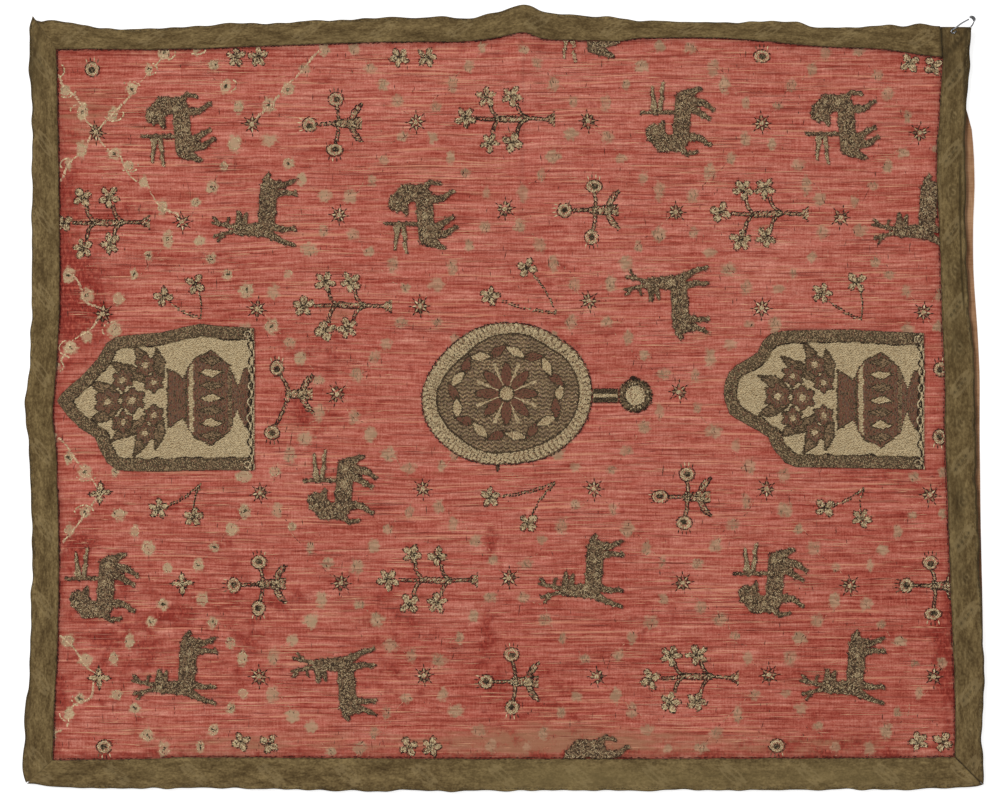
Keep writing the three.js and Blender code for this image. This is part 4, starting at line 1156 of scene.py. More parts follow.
def sew_limb(sewing, points, widths):
    """A stem, trunk or lobe: light thread laid slantwise, with dark beads along both edges."""
    points = np.asarray(points, float)
    far = np.concatenate([[0], np.cumsum(np.hypot(*np.diff(points, axis=0).T))])
    at = np.arange(0.3, far[-1], 1.25)
    along_x, along_y = np.interp(at, far, points[:, 0]), np.interp(at, far, points[:, 1])
    half = np.interp(at, np.linspace(0, far[-1], len(widths)), widths) / 2
    heading = np.arctan2(np.gradient(along_y), np.gradient(along_x))
    offset, i = np.meshgrid(np.arange(-7.7, 7.8, 1.1), np.arange(len(at)))
    offset, i = offset.ravel(), i.ravel()
    inside = np.abs(offset) < np.maximum(half[i], 0.4)
    offset, i = offset[inside], i[inside]
    at_edge = np.abs(offset) > half[i] - 1.1
    offset = offset + sewing.rng.normal(0, 0.18, len(offset))
    x = along_x[i] - np.sin(heading[i]) * offset + sewing.rng.normal(0, 0.15, len(i))
    y = along_y[i] + np.cos(heading[i]) * offset + sewing.rng.normal(0, 0.15, len(i))
    inner = sewing.pick([CREAM, STRAW, TAN, GREY_BROWN, DARK_BROWN], [0.15, 0.3, 0.2, 0.15, 0.2], len(i))
    outer = sewing.pick([DARK_BROWN * 0.8, DARK_BROWN, GREY_BROWN], [0.45, 0.4, 0.15], len(i))
    dye = np.where(at_edge[:, None], outer, inner)
    angle = heading[i] + np.where(at_edge, 0.35, 0.8) + sewing.rng.normal(0, 0.25, len(i))
    keep = on_ground(x, y) & (sewing.rng.random(len(i)) > 0.08)
    sewing.sew(x, y, angle, 2.5, 1.05, 0.55, SEWN + 0.1, dye, keep)


# Sprigs by the pixel of the foot, and each flower's place from the foot, in pixels
FIVE_FLOWER_FEET = [(555, 119), (150, 222), (809, 214), (392, 306), (478, 580), (739, 678)]
FIVE_FLOWERS = [(-88, 0), (-68, -24), (-42, -24), (-68, 24), (-43, 23)]
ROUND_FLOWER_FEET = [(363, 123), (620, 210), (712, 497), (287, 584), (540, 682), (960, 586)]
ROUND_FLOWERS = [(-54, 1), (-28, -23), (-27, 26)]
# A sprig whose end head lies under the left panel
PART_HIDDEN_FOOT = (314, 394)
PART_HIDDEN_HEADS = [(-38, -28), (-42, 38)]
# Pairs of flowers on bent stems. Columns: first flower, second flower, foot.
FLOWER_PAIRS = [
    ((163, 297), (195, 284), (200, 318)), ((490, 296), (527, 268), (556, 313)),
    ((822, 293), (857, 282), (861, 320)), ((158, 509), (193, 517), (201, 484)),
    ((490, 497), (528, 523), (555, 483)), ((825, 508), (862, 519), (864, 488)),
]
# Single heads cut by the ribbon or beside the panels
LOOSE_FLOWERS = [
    (236, 57), (258, 56), (399, 57), (427, 57), (910, 63), (933, 66), (241, 742), (269, 744),
    (408, 747), (432, 747), (919, 742), (943, 742),
]
LOOSE_ROUNDS = [(941, 369), (940, 437), (92, 69), (762, 56), (104, 747), (777, 746)]


def sew_five_flowers(sewing, foot):
    """A trunk with two joints, four branches, an end flower and a fan-shaped foot."""
    base = spot(*foot)
    near = spot(foot[0] - 27, foot[1] + sewing.rng.normal(0, 1))
    far = spot(foot[0] - 55, foot[1] + sewing.rng.normal(0, 1))
    fan = spot(foot[0] - 9, foot[1])
    sew_limb(sewing, [fan, base], [3.0, 13.0])
    sew_limb(sewing, [fan, near], [3.4, 3.6])
    sew_limb(sewing, curve_between(near, far, 0.5), [5.4, 5.8, 5.0, 5.6])
    roots, bends = (far, far, near, far, near), (0.6, 2.0, 2.4, -2.0, -2.4)
    for (dx, dy), root, bend in zip(FIVE_FLOWERS, roots, bends):
        wobble = sewing.rng.normal(0, 1.2, 2)
        flower = spot(foot[0] + dx + wobble[0], foot[1] + dy + wobble[1])
        stop = (flower[0] + (root[0] - flower[0]) * 0.3, flower[1] + (root[1] - flower[1]) * 0.3)
        sew_limb(sewing, curve_between(root, stop, bend), [4.2, 3.4, 3.2])
        sew_flower(sewing, *flower, size=sewing.rng.uniform(0.95, 1.1))


def sew_round_flowers(sewing, foot, heads):
    """A thick forked trunk that carries two or three round heads."""
    joint = spot(foot[0] - 25, foot[1])
    fork = spot(foot[0] - 12, foot[1])
    sew_limb(sewing, [joint, fork], [6.0, 7.8, 7.4])
    for side in (-1, 1):
        tip = spot(foot[0] - 1, foot[1] + side * 19)
        sew_limb(sewing, curve_between(fork, tip, -side * 1.8), [7.4, 6.0, 5.4, 3.0])
    sew_limb(sewing, [fork, spot(foot[0] - 2, foot[1])], [7.0, 11.0])
    for dx, dy in heads:
        wobble = sewing.rng.normal(0, 1.4, 2)
        flower = spot(foot[0] + dx + wobble[0], foot[1] + dy + wobble[1])
        aim = math.atan2(flower[1] - joint[1], flower[0] - joint[0])
        stop = (flower[0] - 5 * math.cos(aim), flower[1] - 5 * math.sin(aim))
        ahead = abs(dy) < 5
        bend = 0.0 if ahead else math.copysign(0.9, dy)
        sew_limb(sewing, curve_between(joint, stop, bend), [5.0, 3.6, 3.3])
        outward = math.pi if ahead else -math.copysign(math.pi / 2, dy)
        sew_round_flower(sewing, *flower, outward)


def sew_flower_pair(sewing, heads, foot):
    """Two flowers on bent stems of dark beads, doubled and paler inside, that meet at one point."""
    for head, bend in zip(heads, (2.4, -2.4)):
        flower = spot(*head)
        line = curve_between(spot(*foot), flower, bend, count=18)[:15]
        line[:, 1] += 0.4 * np.sin(np.arange(15) * 1.7)
        dark = [DARK_BROWN, DARK_BROWN * 0.8, GREY_BROWN]
        for shift in (-0.9, 0.9):
            sewing.path(line + [0.3, shift], 2.4, 2.7, 1.35, 0.55, SEWN + 0.1, dark, [0.5, 0.3, 0.2],
                        lean=0.25, skip=0.15)
        sewing.path(line, 2.0, 2.2, 1.1, 0.5, SEWN + 0.1, [STRAW, TAN, CREAM], [0.5, 0.3, 0.2], skip=0.25)
        sew_flower(sewing, *flower)


def sew_cross_star(sewing, px, py):
    """Four short petals in a cross with dark tips, as the stars near the left side are."""
    x, y = spot(px, py)
    for k in range(4):
        turn = k * np.pi / 2 + sewing.rng.normal(0, 0.08)
        cos, sin = math.cos(turn), math.sin(turn)
        sew_petal(sewing, x + 4.6 * cos, y + 4.6 * sin, 3.4, 1.9, turn)
        sewing.sew(x + 9.0 * cos, y + 9.0 * sin, turn, 3.4, 1.3, 0.5, SEWN + 0.2, DARK_BROWN)
        lean = turn + np.pi / 4
        between_x, between_y = x + 4.4 * math.cos(lean), y + 4.4 * math.sin(lean)
        sewing.sew(between_x, between_y, lean, 3.6, 1.0, 0.5, SEWN, DARK_BROWN)
    fill_disc(sewing, x, y, 2.2, 2.2, 0, 1.0, [CREAM, STRAW, DARK_BROWN], [0.45, 0.35, 0.2],
              SEWN + 0.4, 0.8, width=1.0)


def sew_star(sewing, px, py):
    """Eight narrow petals, pale with dark sides and dark tips, round a pale middle."""
    x, y = spot(px, py)
    start = sewing.rng.uniform(-0.12, 0.12)
    turn = start + np.arange(8) * np.pi / 4 + sewing.rng.normal(0, 0.07, 8)
    reach = sewing.rng.uniform(0.85, 1.1, 8) * np.where(np.arange(8) % 4 == 2, 1.15, 1.0)
    cos, sin = np.cos(turn), np.sin(turn)
    dark = sewing.pick([DARK_BROWN * 0.8, DARK_BROWN], [0.5, 0.5], 8)
    light = sewing.pick([CREAM, STRAW, TAN, GREY_BROWN], [0.2, 0.35, 0.3, 0.15], 8)
    # Columns: how far out and aside, length, width, lean, dye, how far up
    rows = [
        (4.0, 0.0, 4.4, 1.5, 0.0, light, 0.1), (4.2, 1.15, 4.2, 0.95, -0.22, dark, 0.15),
        (4.2, -1.15, 4.2, 0.95, 0.22, dark * 0.9, 0.15), (7.4, 0.0, 3.6, 1.0, 0.0, dark, 0.1),
    ]
    for far, shift, length, width, lean, dye, up in rows:
        sx = x + far * reach * cos - shift * sin
        sy = y + far * reach * sin + shift * cos
        keep = in_seams(sx, sy) & (sewing.rng.random(8) > 0.07)
        sewing.sew(sx, sy, turn + lean, length, width, 0.5, SEWN + up, dye, keep)
    sew_ring(sewing, x, y, 2.5, 2.5, [DARK_BROWN, GREY_BROWN], [0.6, 0.4], SEWN + 0.25, skip=0.25,
             pitch=1.6)
    fill_disc(sewing, x, y, 1.7, 1.7, 0, 1.0, [CREAM, STRAW], [0.6, 0.4], SEWN + 0.35, 0.8, width=1.0)


def sew_spots(sewing, spots):
    """A few upright threads in each faded leaf spot. The creamy ones also have a cream ring, and
    half of those a dark eye."""
    for x, y, radius, strength, stretch, cream in spots:
        count = int(sewing.rng.integers(7, 13) + 6 * cream)
        reach = radius * 0.8 * np.sqrt(sewing.rng.random(count))
        turn = sewing.rng.uniform(0, 2 * np.pi, count)
        px, py = x + reach * np.cos(turn) * stretch, y + reach * np.sin(turn) / stretch
        keep = on_ground(px, py, 1)
        faded = srgb(152, 122, 94) * (1 - cream) + srgb(204, 184, 146) * cream
        dye = faded * sewing.rng.uniform(0.8, 1.15, (count, 1))
        accent = sewing.rng.random(count) < 0.06 + 0.16 * cream
        dye[accent] = DARK_BROWN
        angle = np.pi / 2 + sewing.rng.normal(0, 0.3, count)
        length = sewing.rng.uniform(1.6, 4.0, count)
        sewing.sew(px, py, angle, length, 0.8, 0.25, GROUND_TOP - 0.03, dye, keep)
        if cream > 0.28 and clear_of_pieces(np.array([x]), np.array([y]))[0]:
            ring = radius * 0.7
            sew_ring(sewing, x, y, ring, ring, [CREAM, CREAM * 0.9, STRAW], [0.4, 0.3, 0.3], GROUND_TOP,
                     lean=sewing.rng.uniform(-0.8, 0.8), skip=0.4)
            if sewing.rng.random() < 0.5:
                turn = sewing.rng.uniform(0, 3)
                fill_disc(sewing, x, y, 1.8, 1.2, turn, 1.0, [OLIVE_THREAD, DARK_BROWN, CREAM],
                          [0.45, 0.3, 0.25], GROUND_TOP + 0.1, 0.3, width=0.9)


def bare_part(line):
    """The points of a line that lie on the bare ground."""
    return line[on_ground(line[:, 0], line[:, 1], 1)]


def sew_vines(sewing, spots):
    """Vine lines of the repeat: a few keep soft cream thread, and the rest are hardly paler
    than the ground. Cream thread also curls round the palest spots."""
    faded = [srgb(196, 160, 128), CREAM, STRAW]
    under = [srgb(190, 146, 118), srgb(202, 166, 134)]
    worn = [srgb(198, 144, 116), srgb(178, 120, 96), srgb(110, 56, 44)]
    for a, b in trellis_lines():
        line = curve_between(spot(*a), spot(*b), sewing.rng.uniform(-4, 4), count=30)
        phase, pace = sewing.rng.uniform(0, 6), sewing.rng.uniform(0.5, 0.9)
        sway = sewing.rng.uniform(1.2, 2.6)
        swing = np.arange(30) * pace
        line = bare_part(line + sway * np.column_stack([np.sin(swing + phase), np.cos(swing)]))
        if len(line) < 4:
            continue
        if (a, b) in CREAM_VINES:
            sewing.path(line, 1.5, 3.4, 1.9, 0.25, GROUND_TOP - 0.05, under, [0.5, 0.5], lean=0.9,
                        skip=0.25)
            sewing.path(line, 1.4, 2.4, 1.4, 0.4, GROUND_TOP, faded, [0.4, 0.36, 0.24], lean=0.3,
                        skip=0.32)
        else:
            sewing.path(line, 2.6, 2.8, 0.8, 0.25, GROUND_TOP - 0.02, worn, [0.5, 0.3, 0.2], skip=0.6)
    for x, y, radius, strength, stretch, cream in spots:
        if cream < 0.5:
            continue
        start, sweep = sewing.rng.uniform(0, 2 * np.pi), sewing.rng.uniform(1.8, 3.6)
        turn = np.linspace(start, start + sweep, 14)
        curl = np.linspace(1.0, 1.25, 14) * (radius + 1)
        line = np.column_stack([x + curl * np.cos(turn) * 1.2, y + curl * np.sin(turn) * 0.9])
        line = bare_part(line)
        if len(line) > 3:
            sewing.path(line, 1.4, 2.4, 1.6, 0.45, GROUND_TOP, faded, [0.36, 0.4, 0.24], lean=0.3,
                        skip=0.3)


# Arched panels: a generic pot of flowers in the same colours on a laid cream ground

BAND_WIDTH = 9.6
# Each panel's foot, which way its top leans, and rows of a height and how far the panel reaches
# to both sides there
PANELS = {
    "left": dict(foot=(-200.0, 0.3), lean=-1, edge=[
        (0, -57.7, 55.5), (31, -57.3, 57.5), (43, -57.7, 59), (55, -57.7, 56.7), (74, -58.5, 52),
        (104, -58, 49.5), (110.3, -56.9, 48.3), (117.5, -51.3, 43.9), (123, -41.7, 34.3),
        (126.8, -31.5, 28.7), (139, -24, 15.9), (148.7, -14.5, 7.9), (155, -6, 1.4), (156.8, -3, -2),
    ]),
    "right": dict(foot=(336.0, -1.4), lean=1, edge=[
        (0, -55, 53.2), (15.9, -54.8, 53.8), (57.5, -54, 56), (102.3, -53.2, 55.6),
        (110.5, -49.8, 55.2), (120.3, -38.7, 53.6), (124.4, -29.2, 50.8), (128.7, -26.8, 46.4),
        (132.7, -24, 38), (141.5, -19.2, 32), (150, -14.5, 27.4), (155, -10.8, 22.5),
        (158.6, -1, 14.4), (159.5, 4.5, 8.5),
    ]),
}


def arch_outline(side):
    """The panel's outline in its own frame, from the foot's right end to its left end."""
    rows = PANELS[side]["edge"]
    rise = [(high, v) for v, low, high in rows]
    return np.array(rise + [(low, v) for v, low, high in reversed(rows)])


def outline_distance(outline, u, v):
    """Distance from a panel's sides and arch, but not its foot; less than 0 inside the panel."""
    best = np.full(len(u), 1e9)
    inside = np.zeros(len(u), bool)
    after = np.roll(outline, -1, axis=0)
    for (u1, v1), (u2, v2) in zip(outline, after):
        du, dv = u2 - u1, v2 - v1
        part = np.clip(((u - u1) * du + (v - v1) * dv) / (du * du + dv * dv + 1e-9), 0, 1)
        if v1 > 0 or v2 > 0:
            best = np.minimum(best, np.hypot(u - u1 - part * du, v - v1 - part * dv))
        crosses = (v1 > v) != (v2 > v)
        inside ^= crosses & (u < (u2 - u1) * (v - v1) / (v2 - v1 + 1e-12) + u1)
    return np.where(inside, -best, best)


def leaf(u, v, cu, cv, length, width, turn):
    """Less than 1 inside a pointed leaf."""
    a, b = rotated(u - cu, v - cv, -turn)
    return np.abs(a) / length + (np.abs(b) / width) ** 1.4


def panel_design(u, v):
    """Zone of each place on a panel: 0 laid ground, 1 madder, 2 grey brown, 3 dark line, 4 light."""
    zone = np.zeros(len(u), int)

    def paint(inside, value):
        zone[inside < 0] = value
        zone[np.abs(inside) < 0.7] = 3

    # Leaves first, then flowers over them, then the pot
    for side in (-1, 1):
        for far, up, turn in [(28, 76, 0.2), (34, 90, 0.5), (24, 104, 0.9), (11, 120, 1.2), (20, 92, 0.8)]:
            leaning = turn if side > 0 else math.pi - turn
            paint((leaf(u, v, side * far, up, 12, 5, leaning) - 1) * 4, 2)
    flowers = [
        (0, 117, 11), (-17, 105, 9), (17, 105, 9), (-27, 87, 9), (27, 87, 9), (0, 97, 10.5),
        (-13, 80, 8.5), (13, 80, 8.5),
    ]
    for flower_u, flower_v, radius in flowers:
        turn = np.arctan2(v - flower_v, u - flower_u)
        far = np.hypot(u - flower_u, v - flower_v)
        paint(far - radius * (0.86 + 0.14 * np.cos(turn * 6)), 1)
        zone[far < radius * 0.26] = 4
        zone[np.abs(far - radius * 0.4) < 0.6] = 2
    # The pot by its half width at each height: foot, bowl, neck and lip
    heights = [3, 8, 13, 19, 34, 48, 57, 63, 69]
    halves = [24, 23, 9, 26, 38, 31, 16, 20, 24]
    pot = np.maximum(np.abs(u) - np.interp(v, heights, halves), np.maximum(3 - v, v - 69))
    paint(pot, 1)
    within = pot < -1.5
    zone[within & (np.abs(v - 50) < 1.8)] = 4
    zone[within & (np.abs(v - 54) < 1.0)] = 3
    zone[within & (np.abs(v - 19) < 1.6)] = 2
    for k in range(-3, 4):
        inside = leaf(u, v, k * 10.0, 34, 9, 3.6, math.pi / 2)
        zone[within & (inside < 1)] = 2 if k % 2 else 4
        zone[within & (np.abs(inside - 1) < 0.15)] = 3
    return zone


def sew_panel(sewing, side):
    """Stitches over one arched panel, and the cords round it."""
    foot_x, foot_y = PANELS[side]["foot"]
    outline = arch_outline(side)
    # Zone: dyes, their weights, turn of the thread, how unlike the dyes are, length
    laid = [CREAM * 0.95, CREAM * 0.85, STRAW]
    flecked = [DARK_BROWN * 0.8, DARK_BROWN, GREY_BROWN, TAN, STRAW, MADDER]
    palettes = {
        0: (laid, [0.4, 0.36, 0.24], 0.15, 0.09, 2.6),
        1: ([MADDER, MADDER * 0.8, srgb(104, 74, 66), DARK_BROWN], [0.42, 0.22, 0.24, 0.12], 1.45,
            0.16, 2.2),
        2: ([GREY_BROWN, TAN, DARK_BROWN], [0.36, 0.3, 0.34], -0.5, 0.18, 2.2),
        3: ([DARK_BROWN, DARK_BROWN * 0.75], [0.5, 0.5], 0.3, 0.18, 2.2),
        4: ([CREAM, STRAW], [0.5, 0.5], 0.1, 0.1, 2.4),
        5: (flecked, [0.2, 0.27, 0.2, 0.15, 0.14, 0.04], 0.9, 0.18, 1.7),
        6: ([DARK_BROWN * 0.8, DARK_BROWN], [0.5, 0.5], 0.2, 0.18, 2.4),
    }
    for in_band, step, width, top in ((False, 1.22, 1.05, PLATE_TOP), (True, 0.98, 0.82, BAND_TOP)):
        u, v = scattered(sewing.rng, 60, 80, step)
        v = v + 80.4
        far = outline_distance(outline, u, v)
        from_band = far + BAND_WIDTH - 0.9 * waves(u, v, 9, 71)
        keep = (far < -0.3) & ((from_band > 0) == in_band)
        u, v, from_band = u[keep], v[keep], from_band[keep]
        sway = 3.5 * smooth(60, 130, v) * PANELS[side]["lean"]
        zone = panel_design(u - sway + 0.5 * waves(u, v, 7, 72), v + 0.5 * waves(v, u, 7, 73))
        zone[from_band > 0] = 5
        zone[np.abs(from_band) < 0.5] = 6
        for value, (dyes, weights, lay, spread, length) in palettes.items():
            part = zone == value
            count = int(part.sum())
            if count == 0:
                continue
            angle = lay + sewing.rng.normal(0, 0.5 if in_band else 0.12, count)
            if in_band:
                angle = np.where(np.sin(u[part] * 1.1 + v[part] * 0.9) > 0, angle, -angle)
            px, py = turned(foot_x, foot_y, 1, u[part], v[part])
            dye = sewing.pick(dyes, weights, count, spread)
            sewing.sew(px, py, angle, length, width, 0.5, top - 0.12, dye)
    # Dark cord round the outside, twisted cords along the foot and a ring at each corner
    px, py = turned(foot_x, foot_y, 1, outline[:, 0], outline[:, 1])
    sewing.path(np.column_stack([px, py]), 1.3, 2.2, 1.0, 0.8, PLATE_BOTTOM + 0.1,
                [DARK_BROWN, DARK_BROWN * 0.7, GREY_BROWN], [0.5, 0.35, 0.15], lean=0.4, skip=0.1)
    low, high = PANELS[side]["edge"][0][1:]
    along = np.arange(low, high, 1.0)
    for strand, dyes in [(0.0, [CREAM, CREAM * 0.8]), (math.pi, [DARK_BROWN, DARK_BROWN * 0.8])]:
        twist = 1.5 * np.sin(along * 2 * np.pi / 13 + strand)
        line = np.column_stack([foot_x - 3.2 + twist + 0.7 * np.sin(along / 13), foot_y + along])
        sewing.path(line, 1.3, 3.0, 1.3, 0.8, BAND_TOP - 0.1, dyes, [0.5, 0.5], lean=0.1)
        line[:, 0] += 2.2 - 1.4 * twist
        sewing.path(line, 1.5, 2.8, 1.1, 0.6, BAND_TOP - 0.2, dyes[::-1], [0.5, 0.5], lean=-0.3, skip=0.15)
    rings = [(1.2, [DARK_BROWN, GREY_BROWN]), (2.5, [CREAM, CREAM * 0.8]), (3.7, [DARK_BROWN, TAN])]
    for corner in (low + 4.5, high - 4.5):
        for radius, dyes in rings:
            sew_ring(sewing, foot_x - 5.0, foot_y + corner, radius, radius, dyes, [0.6, 0.4],
                     BAND_TOP + 0.15)


# Medallion: a rope ring round a generic rosette inside a wreath

MEDALLION_MIDDLE = (2.1, 3.8)
# The medallion's reach and its rope's width every 15 degrees, anticlockwise from the right
MEDALLION_REACH = [
    68, 67.2, 64.8, 60.4, 58.4, 56.8, 56, 56.4, 56.8, 57.6, 59.6, 63.2,
    67.2, 68, 66, 63.2, 60.4, 57.6, 55.6, 56.4, 59.2, 61.6, 64.8, 67.2,
]
MEDALLION_ROPE = [
    9.2, 9.2, 9.3, 9.6, 8.6, 7.2, 7.6, 8.8, 10.4, 12, 11.6, 11.2,
    10.8, 11, 11.2, 11.2, 9.4, 8, 8, 9, 10.4, 10, 9.6, 9.3,
]
# A dark thread end below the rope, in photo pixels
THREAD_END = (498, 467)
ROUNDEL = dict(x=105.3, y=2.2, radius=12.8)
LINK = dict(x=81.3, y=2.2, length=20.0, width=10.4)


def around(values, turn):
    """A value given all round the medallion, at any turn."""
    stations = np.arange(len(values) + 1) * 2 * np.pi / len(values)
    return np.interp(np.mod(turn, 2 * np.pi), stations, [*values, values[0]])


def sew_medallion(sewing):
    """Rosette, wreath, zigzag ground and rope of the medallion."""
    middle_x, middle_y = MEDALLION_MIDDLE
    u, v = scattered(sewing.rng, 70, 61, 1.02)
    far, aim = np.hypot(u, v), np.arctan2(v, u)
    reach, rope = around(MEDALLION_REACH, aim), around(MEDALLION_ROPE, aim)
    keep = far < reach - 0.4 + 0.5 * np.sin(aim * 84)
    u, v, far, aim, reach, rope = (values[keep] for values in (u, v, far, aim, reach, rope))
    zone = np.zeros(len(u), int)
    # Rosette: eight madder petals, cream ribs between them, a cream eye
    petal = far - 25 * (0.76 + 0.24 * np.cos(aim * 8))
    zone[petal < 0] = 1
    zone[np.abs(petal) < 0.7] = 3
    zone[(np.abs(np.sin(aim * 4 + np.pi / 2)) < 0.2) & (far > 7) & (far < 26)] = 4
    zone[far < 6] = 4
    zone[np.abs(far - 6) < 0.7] = 3
    # Wreath: leaves by turns madder and cream on a ring between rosette and rope
    for k in range(18):
        turn = k * 2 * np.pi / 18
        cu, cv = 42 * math.cos(turn), 34 * math.sin(turn)
        lean = math.atan2(34 * math.cos(turn), -42 * math.sin(turn)) + (0.5 if k % 2 else -0.35)
        shape = leaf(u, v, cu, cv, 9.5, 4.0, lean)
        zone[shape < 1] = 1 if k % 2 else 4
        zone[np.abs(shape - 1) < 0.14] = 3
    in_rope = (far - reach + rope) / rope
    zone[in_rope > -0.15] = 6
    zone[in_rope > 0] = 5
    # The zigzag of the plain part, and the turns of the rope, are light and dark by turns
    zig = np.mod(v + 1.6 * np.abs(np.mod(u / 2.9, 2) - 1) + 0.5 * waves(u, v, 12, 76), 3.1)
    zone[(zone == 0) & (zig < 1.5)] = 2
    coil = np.mod(aim * reach + 2.2 * np.sin(in_rope * np.pi) + 0.7 * waves(u, v, 8, 78), 3.8)
    zone[(zone == 5) & (coil < 1.15) & (sewing.rng.random(len(u)) < 0.85)] = 7
    palettes = {
        0: ([TAN, STRAW, srgb(152, 124, 106)], [0.35, 0.35, 0.3]),
        1: ([MADDER, MADDER * 0.8, DARK_BROWN], [0.6, 0.28, 0.12]),
        2: ([DARK_BROWN, GREY_BROWN, srgb(84, 60, 52)], [0.45, 0.25, 0.3]),
        3: ([DARK_BROWN, DARK_BROWN * 0.7], [0.5, 0.5]),
        4: ([CREAM, STRAW, TAN], [0.5, 0.4, 0.1]),
        5: ([CREAM, CREAM * 0.85, STRAW, TAN], [0.4, 0.3, 0.2, 0.1]),
        6: ([DARK_BROWN * 0.7, DARK_BROWN], [0.5, 0.5]),
        7: ([TAN * 0.9, GREY_BROWN, DARK_BROWN], [0.42, 0.38, 0.2]),
    }
    patchy = 1 + 0.22 * waves(u, v, 15, 77)
    for value, (dyes, weights) in palettes.items():
        part = zone == value
        count = int(part.sum())
        if value in (5, 7):
            angle = aim[part] + np.pi / 2 + np.where(in_rope[part] > 0.5, 0.7, -0.5)
        elif value in (0, 2):
            angle = np.where(np.mod(u[part] / 2.9, 2) < 1, 0.5, -0.5)
        else:
            angle = aim[part]
        angle = angle + sewing.rng.normal(0, 0.15, count)
        crown = 0.7 * np.clip(1 - 2 * np.abs(in_rope[part] - 0.5), 0, 1)
        length, width = (1.6, 0.85) if value in (0, 2) else (2.1, 0.95)
        dye = sewing.pick(dyes, weights, count, 0.14)
        if value in (0, 2):
            dye = dye * patchy[part][:, None]
        sewing.sew(u[part] + middle_x, v[part] + middle_y, angle, length, width, 0.5,
                   PLATE_TOP - 0.12 + crown, dye)
    turn = np.arange(0, 2 * np.pi, 0.02)
    far = around(MEDALLION_REACH, turn) + 0.3 + sewing.rng.uniform(-0.3, 0.9, len(turn))
    dye = sewing.pick([DARK_BROWN, DARK_BROWN * 0.7, TAN], [0.5, 0.35, 0.15], len(turn))
    angle = turn + np.pi / 2 + sewing.rng.choice([0.3, 0.8, -0.7], len(turn))
    px, py = middle_x + far * np.cos(turn), middle_y + far * np.sin(turn)
    sewing.sew(px, py, angle, 2.3, 1.0, 0.9, PLATE_BOTTOM + 0.2, dye)
    tail_x, tail_y = spot(*THREAD_END)
    fill_disc(sewing, tail_x, tail_y, 1.6, 4.0, 0, 1.0, [DARK_BROWN, GREY_BROWN], [0.7, 0.3], SEWN,
              np.pi / 2, width=0.9, length=2.2)


def sew_roundel(sewing):
    """A dark ragged ring round a cream middle, and two dark bars with a pale line between."""
    x, y, radius = ROUNDEL["x"], ROUNDEL["y"], ROUNDEL["radius"]
    dark, mixed = [DARK_BROWN, DARK_BROWN * 0.75, TAN], [DARK_BROWN, GREY_BROWN, CREAM]
    # Columns: how far in from the roundel's edge, dyes, how far up
    rings = [
        (-0.6, dark, -0.5), (0.6, dark, 0.1), (1.9, mixed, 0.62), (3.2, mixed, 0.45), (4.4, dark, 0.2),
    ]
    for inset, dyes, up in rings:
        ring = radius - inset
        sew_ring(sewing, x, y, ring, ring, dyes, [0.5, 0.3, 0.2], PLATE_TOP + up, lean=0.9, skip=0.04,
                 pitch=1.25)
    middle = radius - 4.9
    fill_disc(sewing, x, y, middle, middle, 0, 1.2, [CREAM, CREAM * 0.85, TAN], [0.5, 0.35, 0.15],
              PLATE_TOP, 0.6, width=1.1, length=2.0)
    fill_disc(sewing, x - 1.5, y + radius + 1.2, 3.2, 1.4, 0, 1.1, [DARK_BROWN], [1.0],
              PLATE_BOTTOM + 0.2, 0.4, width=1.0, length=2.0)
    for row in np.arange(-5.2, 5.3, 1.04):
        bar = abs(row) > 1.3
        dyes = [DARK_BROWN, DARK_BROWN * 0.75] if bar else [CREAM, STRAW]
        line = [(LINK["x"] - 9.6, LINK["y"] + row), (LINK["x"] + 9.6, LINK["y"] + row)]
        base = (BAND_TOP if bar else PLATE_TOP) - 0.1
        sewing.path(line, 1.4, 2.4, 1.1, 0.6, base, dyes, [0.6, 0.4], lean=0.3)


# Loose weft threads and standing pile on the ground

def sew_weft(sewing):
    """Long floats of bare weft that stand a little above the ground."""
    count = 7000
    x = sewing.rng.uniform(-356, 352, count)
    y = sewing.rng.uniform(-287, 285, count)
    keep = on_ground(x, y, 8)
    x, y = x[keep], y[keep]
    length = sewing.rng.gamma(3.0, 6.0, len(x)) + 3
    keep = on_ground(x - length / 2, y, 2) & on_ground(x + length / 2, y, 2)
    x, y, length = x[keep], y[keep], length[keep]
    dyes = [srgb(218, 160, 126), srgb(192, 118, 98), srgb(156, 72, 58), srgb(130, 54, 42)]
    dye = sewing.pick(dyes, [0.34, 0.26, 0.26, 0.14], len(x), 0.12)
    angle = sewing.rng.normal(0, 0.012, len(x))
    width = sewing.rng.uniform(0.3, 0.7, len(x))
    sewing.sew(x, y, angle, length, width, 0.22, GROUND_TOP - 0.02, dye)


def sew_ticks(sewing):
    """Short dark ends of warp that stand across the weft."""
    count = 1300
    x = sewing.rng.uniform(-355, 350, count)
    y = sewing.rng.uniform(-286, 284, count)
    keep = on_ground(x, y, 4)
    x, y = x[keep], y[keep]
    dye = sewing.pick([srgb(92, 42, 32), DARK_BROWN, srgb(124, 58, 46)], [0.45, 0.2, 0.35], len(x))
    angle = np.pi / 2 + sewing.rng.normal(0, 0.14, len(x))
    length = sewing.rng.gamma(2.5, 1.3, len(x)) + 1.0
    width = sewing.rng.uniform(0.4, 0.8, len(x))
    sewing.sew(x, y, angle, length, width, 0.25, GROUND_TOP - 0.02, dye)


